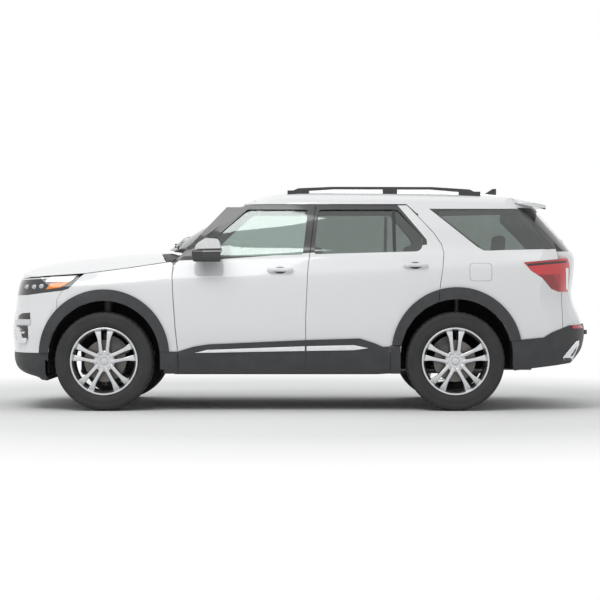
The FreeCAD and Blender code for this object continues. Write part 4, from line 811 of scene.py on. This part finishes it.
def tube(name, points, radius):
    # a round bar through the points
    clearSelection()
    bpy.ops.curve.primitive_bezier_curve_add()
    curve = bpy.context.object
    spline = curve.data.splines[0]
    spline.bezier_points.add(len(points) - 2)
    for point, place in zip(spline.bezier_points, points):
        point.co = place
        point.handle_left_type = "AUTO"
        point.handle_right_type = "AUTO"
    curve.location = (0, 0, 0)
    curve.data.bevel_depth = radius
    curve.data.bevel_resolution = 5
    curve.data.use_fill_caps = True
    curve.data.resolution_u = 10
    focus(curve)
    bpy.ops.object.convert(target="MESH")
    return smoothed(settle(named(name)), 40)


onBody = ("root", "root")
headlampLook = {
    "silver": {
        "outline": [(-2.040, 1.086), (-1.820, 1.098), (-1.880, 1.046), (-2.075, 1.050)],
        "lift": 0.0006, "thickness": 0.0020, "cells": (30, 8)},
    "strip": {
        "outline": [(-2.300, 1.070), (-2.040, 1.082), (-2.040, 1.074), (-2.298, 1.060)],
        "lift": 0.0006, "thickness": 0.0030, "cells": (30, 4)},
    "amber": {
        "outline": [(-2.030, 1.036), (-1.878, 1.044), (-1.950, 1.000), (-2.068, 0.985)],
        "lift": 0.0006, "thickness": 0.0025, "cells": (26, 8)},
    "pods": ((-2.235, 1.006), (-2.168, 1.006), (-2.105, 1.010)), "podSize": 0.024, "podShape": (1, 0.35, 0.8),
}
tailLampLook = {
    "blade": {
        "outline": [(1.800, 1.188), (2.180, 1.222), (2.180, 1.206), (1.812, 1.172)],
        "lift": 0.0004, "thickness": 0.002, "cells": (30, 4)},
    "lens": {
        "outline": [(2.168, 1.160), (2.196, 1.160), (2.196, 0.985), (2.176, 0.985)],
        "lift": 0.0006, "thickness": 0.002, "cells": (6, 20)},
}


def makeHeadlamps():
    target = nodes["headlamps"]
    both(skinPatch("lampSilverBand", target, **headlampLook["silver"]), "lampSilver", onBody)
    both(skinPatch("lampLightStrip", target, **headlampLook["strip"]), "lampSilver", onBody)
    both(skinPatch("amberReflector", target, **headlampLook["amber"]), "amber", onBody)
    pods = []
    for x, z in headlampLook["pods"]:
        place = skinAt(target, x, z)
        if not place:
            continue
        clearSelection()
        bpy.ops.mesh.primitive_uv_sphere_add(
            segments=28, ring_count=14, radius=headlampLook["podSize"], location=place)
        pod = named("lampPod")
        pod.scale = headlampLook["podShape"]
        pods.append(settle(pod))
    if pods:
        both(smoothed(joined(pods, "lampPods"), 60), "lampPod", onBody)


def makeTailLampTrim():
    target = nodes["tail_lamps"]
    both(skinPatch("lampUpperBlade", target, **tailLampLook["blade"]), "gloss_black", onBody)
    both(skinPatch("lampClearLens", target, **tailLampLook["lens"]), "lampSilver", onBody)


makeHeadlamps()
makeTailLampTrim()
print("lamps made")

handleLook = {
    "places": {"front": (-0.288, -0.045, 1.145), "rear": (0.813, 1.048, 1.183)},  # from x, to x, z
    "proud": 0.030, "radius": 0.0105, "tall": 1.45, "footIn": 0.02, "footDeep": 0.010, "elbow": 0.012,
    # cup is the outline of a flat dark sheet behind each handle, painted shade for the recess
    "cup": {"length": 0.052, "height": 0.026, "drop": 0.004, "corners": 18},
    "cupShadeSheet": {"lift": 0.0003, "thickness": 0.0008, "cells": (16, 10)},
}
sillLook = {
    "front": [(-0.856, 0.4716), (-0.753, 0.4959), (0.034, 0.5260), (0.034, 0.4880)],
    "rear": [(0.050, 0.5262), (0.4296, 0.5350), (0.5487, 0.5100), (0.4296, 0.4936), (0.050, 0.4882)],
    "sheet": {"lift": 0.0004, "thickness": 0.007, "cells": (60, 5), "bevel": 0.002},
}
noseLook = {
    "strip": {
        "outline": [(-2.340, 0.736), (-2.200, 0.736), (-2.200, 0.700), (-2.340, 0.694)],
        "lift": 0.0006, "thickness": 0.010, "cells": (20, 5), "bevel": 0.003},
    "vent": {
        "outline": [(-2.312, 0.772), (-2.280, 0.790), (-2.205, 0.795), (-2.200, 0.742), (-2.320, 0.742)],
        "lift": 0.0004, "thickness": 0.0012, "cells": (20, 8)},
}
tailLook = {
    "exhaust": {
        "outline": [
            (2.282, 0.568), (2.247, 0.560), (2.190, 0.496), (2.134, 0.436), (2.144, 0.408), (2.224, 0.408),
            (2.256, 0.476), (2.282, 0.530),
        ],
        "lift": 0.0006, "thickness": 0.006, "cells": (30, 24), "bevel": 0.0015},
    "mouth": {
        "outline": [(2.262, 0.514), (2.208, 0.444), (2.228, 0.444), (2.254, 0.480)],
        "lift": 0.0002, "thickness": 0.0008, "cells": (20, 16)},
    "lip": {
        "outline": [(2.150, 0.426), (2.206, 0.426), (2.222, 0.409), (2.146, 0.409)],
        "lift": 0.0002, "thickness": 0.0008, "cells": (20, 8)},
    "reflector": {
        "outline": [(-0.860, 0.665), (-0.700, 0.665), (-0.700, 0.690), (-0.860, 0.690)],
        "lift": 0.0006, "thickness": 0.006, "cells": (20, 4), "way": "-X", "bevel": 0.002},
}


def makeHandles():
    proud, tall, cup = handleLook["proud"], handleLook["tall"], handleLook["cup"]
    footIn, footDeep, elbow = handleLook["footIn"], handleLook["footDeep"], handleLook["elbow"]
    for end, (x0, x1, z) in handleLook["places"].items():
        target = nodes[end + "_door_left"]
        bodies = (end + "_door_left", end + "_door_right")
        middle = (x0 + x1) / 2
        a, b, c = (skinAt(target, x, z) for x in (x0 + footIn, middle, x1 - footIn))
        grip = [
            (a.x, a.y + footDeep, z), (a.x + elbow, a.y - proud * 0.75, z), (b.x, b.y - proud, z),
            (c.x - elbow, c.y - proud * 0.75, z), (c.x, c.y + footDeep, z),
        ]
        bar = tube("handle" + end.title(), grip, handleLook["radius"])
        bar.scale = (1, 1, tall)
        bar.location = (0, 0, z - tall * z)
        both(settle(bar), "paint", bodies)
        outline = []
        for i in range(cup["corners"]):
            turn = math.radians(360 / cup["corners"] * i)
            outline.append((
                middle + cup["length"] * math.cos(turn), z - cup["drop"] + cup["height"] * math.sin(turn)))
        # the recess is not cut: a thin dark sheet on the door skin is painted shade where the handle's recess
        # falls in shadow
        recessShade = skinPatch("handleCupShade" + end.title(), target, outline, **handleLook["cupShadeSheet"])
        both(recessShade, "handleRecessShade", bodies)


def makeSillStrips():
    for end in ("front", "rear"):
        target = nodes[end + "_door_cladding_left"]
        bodies = (end + "_door_left", end + "_door_right")
        strip = skinPatch("sillStrip" + end.title(), target, sillLook[end], **sillLook["sheet"])
        both(strip, "chrome", bodies)


def makeNoseTrim():
    target = nodes["front_bumper"]
    both(skinPatch("noseStrip", target, **noseLook["strip"]), "grille_metal", onBody)
    both(skinPatch("upperVent", target, **noseLook["vent"]), "gloss_black", onBody)


def makeTailTrim():
    target = nodes["rear_bumper_lower"]
    trim = skinPatch("exhaustTrim", target, **tailLook["exhaust"])
    mouth = skinPatch("exhaustMouth", trim, **tailLook["mouth"])
    lip = skinPatch("exhaustLip", trim, **tailLook["lip"])
    both(trim, "chrome", onBody)
    both(mouth, "gloss_black", onBody)
    both(lip, "gloss_black", onBody)
    both(skinPatch("rearReflector", target, **tailLook["reflector"]), "reflectorRed", onBody)


makeHandles()
makeSillStrips()
makeNoseTrim()
makeTailTrim()
print("side trim made")

finLook = {
    "place": (1.622, 0, 1.822), "size": (0.125, 0.034, 0.062), "tip": (1.655, 1.688), "top": 1.853,
    "middle": 1.62, "waist": 1.83, "thinTop": 0.22, "thinNose": 0.25, "bevel": 0.004,
}
wiperLook = {
    "blades": (((-1.035, -0.50), (-0.960, 0.08)), ((-1.070, 0.02), (-0.965, 0.60))),  # foot and tip, x and y
    "over": 0.014, "blade": 0.006, "arm": 0.008, "steps": 6, "armRoot": (-0.008, -0.06, -0.004),
}
rearWiperLook = {
    "reach": (0.0, 0.12, 0.24, 0.36), "height": 1.385, "slope": 0.02, "over": 0.014, "radius": 0.007,
    "pivot": (0.024, 0.045), "pivotTurn": 60, "pivotBevel": 0.006,
}


def makeFin():
    clearSelection()
    bpy.ops.mesh.primitive_cube_add(size=1, location=finLook["place"])
    fin = named("roofFin")
    fin.scale = finLook["size"]
    settle(fin)
    for vertex in fin.data.vertices:
        inFront = vertex.co.x < finLook["middle"]
        if vertex.co.z > finLook["waist"]:
            vertex.co.y *= finLook["thinTop"]
            vertex.co.x = finLook["tip"][0 if inFront else 1]
            vertex.co.z = finLook["top"]
        elif inFront:
            vertex.co.y *= finLook["thinNose"]
    fin.data.update()
    bevelled(fin, finLook["bevel"], 3)
    dressed(smoothed(fin, 40), looks["gloss_black"], "root")


def makeWipers():
    for index, (foot, tip) in enumerate(wiperLook["blades"]):
        line = []
        for i in range(wiperLook["steps"] + 1):
            share = i / wiperLook["steps"]
            x = foot[0] + (tip[0] - foot[0]) * share
            y = foot[1] + (tip[1] - foot[1]) * share
            place = topAt(nodes["windshield"], x, y)
            if place:
                line.append((x, y, place.z + wiperLook["over"]))
        if len(line) > 3:
            blade = tube("wiperBlade" + str(index), line, wiperLook["blade"])
            dressed(blade, looks["gloss_black"], "root")
            back, aside, down = wiperLook["armRoot"]
            start = (foot[0] + back, foot[1] + aside, line[0][2] + down)
            arm = tube("wiperArm" + str(index), [start, line[0], line[3]], wiperLook["arm"])
            dressed(arm, looks["gloss_black"], "root")


def makeRearWiper():
    target = nodes["tailgate_glass"]
    height = rearWiperLook["height"]
    line = []
    for y in rearWiperLook["reach"]:
        hit, place, normal, index = target.ray_cast(Vector((4, y, height)), Vector((-1, 0, 0)))
        if hit:
            line.append((place.x + rearWiperLook["over"], y, height + rearWiperLook["slope"] * y))
    if len(line) > 2:
        wiper = tube("rearWiper", line, rearWiperLook["radius"])
        dressed(wiper, looks["gloss_black"], "tailgate")
        clearSelection()
        radius, depth = rearWiperLook["pivot"]
        bpy.ops.mesh.primitive_cylinder_add(
            vertices=32, radius=radius, depth=depth, location=Vector(line[0]),
            rotation=(0, math.radians(rearWiperLook["pivotTurn"]), 0))
        pivot = settle(named("rearWiperPivot"))
        bevelled(pivot, rearWiperLook["pivotBevel"], 3)
        dressed(smoothed(pivot, 40), looks["gloss_black"], "tailgate")


makeFin()
makeWipers()
makeRearWiper()
print("roof and glass trim made")

ventLook = {
    # rows of height, front end and rear end
    "grid": [
        (0.690, -2.333, -2.223), (0.675, -2.328, -2.223), (0.655, -2.312, -2.223), (0.620, -2.300, -2.223),
        (0.586, -2.285, -2.223),
    ],
    "blade": [
        (0.676, -2.343, -2.297), (0.640, -2.337, -2.287), (0.600, -2.330, -2.275), (0.5895, -2.328, -2.272),
        (0.5875, -2.327, -2.228), (0.561, -2.317, -2.231), (0.546, -2.310, -2.241),
    ],
    "sheets": (("grid", 0.001, 0.003, "gloss_black"), ("blade", 0.008, 0.010, "paint")),
    "above": 0.700, "below": 0.540, "steps": 12, "bevel": 0.001,
}
mirrorLook = {
    "place": (-0.762, -1.045, 1.256), "size": (0.232, 0.110, 0.098), "bevel": 0.022,
    "chin": 1.24, "chinSlope": 0.35,
    "strip": {
        "place": (-0.716, -1.1005, 1.281), "size": (0.100, 0.004, 0.008), "bevel": 0.0015, "segments": 2},
}
roofEdge = {
    "section": [
        (0.584, 1.7868), (0.598, 1.7858), (0.612, 1.7838), (0.630, 1.7768), (0.650, 1.7644), (0.670, 1.7462),
        (0.6892, 1.7205), (0.6990, 1.7005), (0.7048, 1.688),
    ],
    "heights": [
        (-0.462, 1.690), (-0.42, 1.6975), (-0.38, 1.7120), (-0.34, 1.7270), (-0.30, 1.7408), (-0.25, 1.7552),
        (-0.20, 1.7664), (-0.15, 1.7742), (-0.10, 1.7797), (-0.05, 1.7828), (0.0, 1.7846), (0.1, 1.7863),
        (0.24, 1.7870),
    ],
    "thickness": 0.003,
}
screenLook = {
    "foot": 1.165, "top": 1.694, "sideRows": 14, "sideWidth": 0.020,
    "skinReach": (0.060, 0.075, 0.045, 0.090),  # from the glass edge back to the pillar's skin
    "halfWidth": 0.63, "topRows": 24, "topWidth": 0.055, "thickness": 0.002, "step": 0.002, "lift": 0.0015,
}
windowBar = {
    "outline": [(0.752, 1.668), (0.780, 1.668), (0.780, 1.276), (0.752, 1.276)],
    "lift": 0.0006, "thickness": 0.004, "cells": (6, 30),
}


def bumperY(x, z):
    # the nose skin beside the vent, blended over the opening
    high = skinAt(nodes["front_bumper"], x, ventLook["above"])
    low = skinAt(nodes["front_bumper"], x, ventLook["below"])
    share = (z - ventLook["below"]) / (ventLook["above"] - ventLook["below"])
    return low.y + (high.y - low.y) * share


def makeVentFaces():
    steps = ventLook["steps"]
    for name, lift, thickness, look in ventLook["sheets"]:
        rows = []
        for z, left, right in ventLook[name]:
            xs = [left + (right - left) * i / steps for i in range(steps + 1)]
            rows.append([(x, bumperY(x, z) - lift, z) for x in xs])
        piece = sheetThrough("vent" + name.title(), rows, thickness)
        bevelled(piece, ventLook["bevel"], 2, 50)
        both(piece, look, onBody)


def makeMirrors():
    doors = ("front_door_left", "front_door_right")
    shell = softBlock("mirrorLower", mirrorLook["place"], mirrorLook["size"], mirrorLook["bevel"], 5)
    for vertex in shell.data.vertices:
        if vertex.co.z < mirrorLook["chin"]:
            vertex.co.x += (mirrorLook["chin"] - vertex.co.z) * mirrorLook["chinSlope"]
    shell.data.update()
    both(shell, "gloss_black", doors)
    both(softBlock("mirrorBrightStrip", **mirrorLook["strip"]), "chrome", doors)


def makeRoofEdge():
    # the painted edge between the roof panel and the top of the front door
    low, high = roofEdge["section"][-1][1], roofEdge["section"][0][1]
    rows = []
    for x, top in roofEdge["heights"]:
        share = (top - low) / (high - low)
        rows.append([(x, -y, low + (z - low) * share) for y, z in roofEdge["section"]])
    both(sheetThrough("roofEdge", rows, roofEdge["thickness"]), "paint", onBody)


def screenEdge(z):
    # the side edge of the windshield at a height
    y, last = 0.55, None
    while y < 0.95:
        last = noseAt(nodes["windshield"], -y, z) or last
        y += screenLook["step"]
    return last


def firstBelow(target, x, y, end, step):
    # the first place along the car where a line from above meets a piece
    place = None
    while place is None and (end - x) * step > 0:
        place = topAt(target, x, y)
        x += step
    return place, x


def makeSideBorder():
    # the black border of the windshield runs onto the pillar
    rows = []
    foot, top, count = screenLook["foot"], screenLook["top"], screenLook["sideRows"]
    for i in range(count + 1):
        z = foot + (top - foot) * i / count
        edge = screenEdge(z)
        if not edge:
            continue
        skin = None
        for reach in screenLook["skinReach"]:
            for target in ("front_door_left", "body_sides"):
                skin = skin or skinAt(nodes[target], edge.x + reach, z)
        inner = noseAt(nodes["windshield"], edge.y + screenLook["sideWidth"], z)
        outer = skin or edge + Vector((0.05, -0.02, 0))
        rows.append([
            (inner.x - 0.0012, inner.y, z), (edge.x - 0.0015, edge.y, z), (edge.x + 0.006, edge.y - 0.008, z),
            (edge.x * 0.45 + outer.x * 0.55, edge.y * 0.4 + outer.y * 0.6 - 0.006, z),
            (outer.x, outer.y - 0.0012, z),
        ])
    border = sheetThrough("screenSideBorder", rows, screenLook["thickness"])
    both(border, "gloss_black", onBody)


def makeTopBorder():
    # the black border of the windshield runs under the front of the roof
    rows = []
    half, count = screenLook["halfWidth"], screenLook["topRows"]
    step, lift = screenLook["step"], screenLook["lift"]
    for i in range(count + 1):
        y = -half + 2 * half * i / count
        roof, x = firstBelow(nodes["roof_panel"], -0.60, y, -0.2, step)
        screen, x = firstBelow(nodes["windshield"], x, y, -0.9, -step)
        if not roof or not screen:
            continue
        back = topAt(nodes["windshield"], screen.x - screenLook["topWidth"], y)
        rows.append([
            (back.x, y, back.z + lift), (screen.x - 0.004, y, screen.z + lift),
            (roof.x + 0.001, y, roof.z - 0.0005),
        ])
    border = sheetThrough("screenTopBorder", rows, screenLook["thickness"])
    dressed(border, looks["gloss_black"], "root")


def makeWindowBars():
    bar = skinPatch("rearWindowBar", nodes["rear_door_glass_left"], **windowBar)
    both(bar, "gloss_black", ("rear_door_left", "rear_door_right"))


makeVentFaces()
makeMirrors()
makeRoofEdge()
makeSideBorder()
makeTopBorder()
makeWindowBars()
print("roof edge and glass borders made")
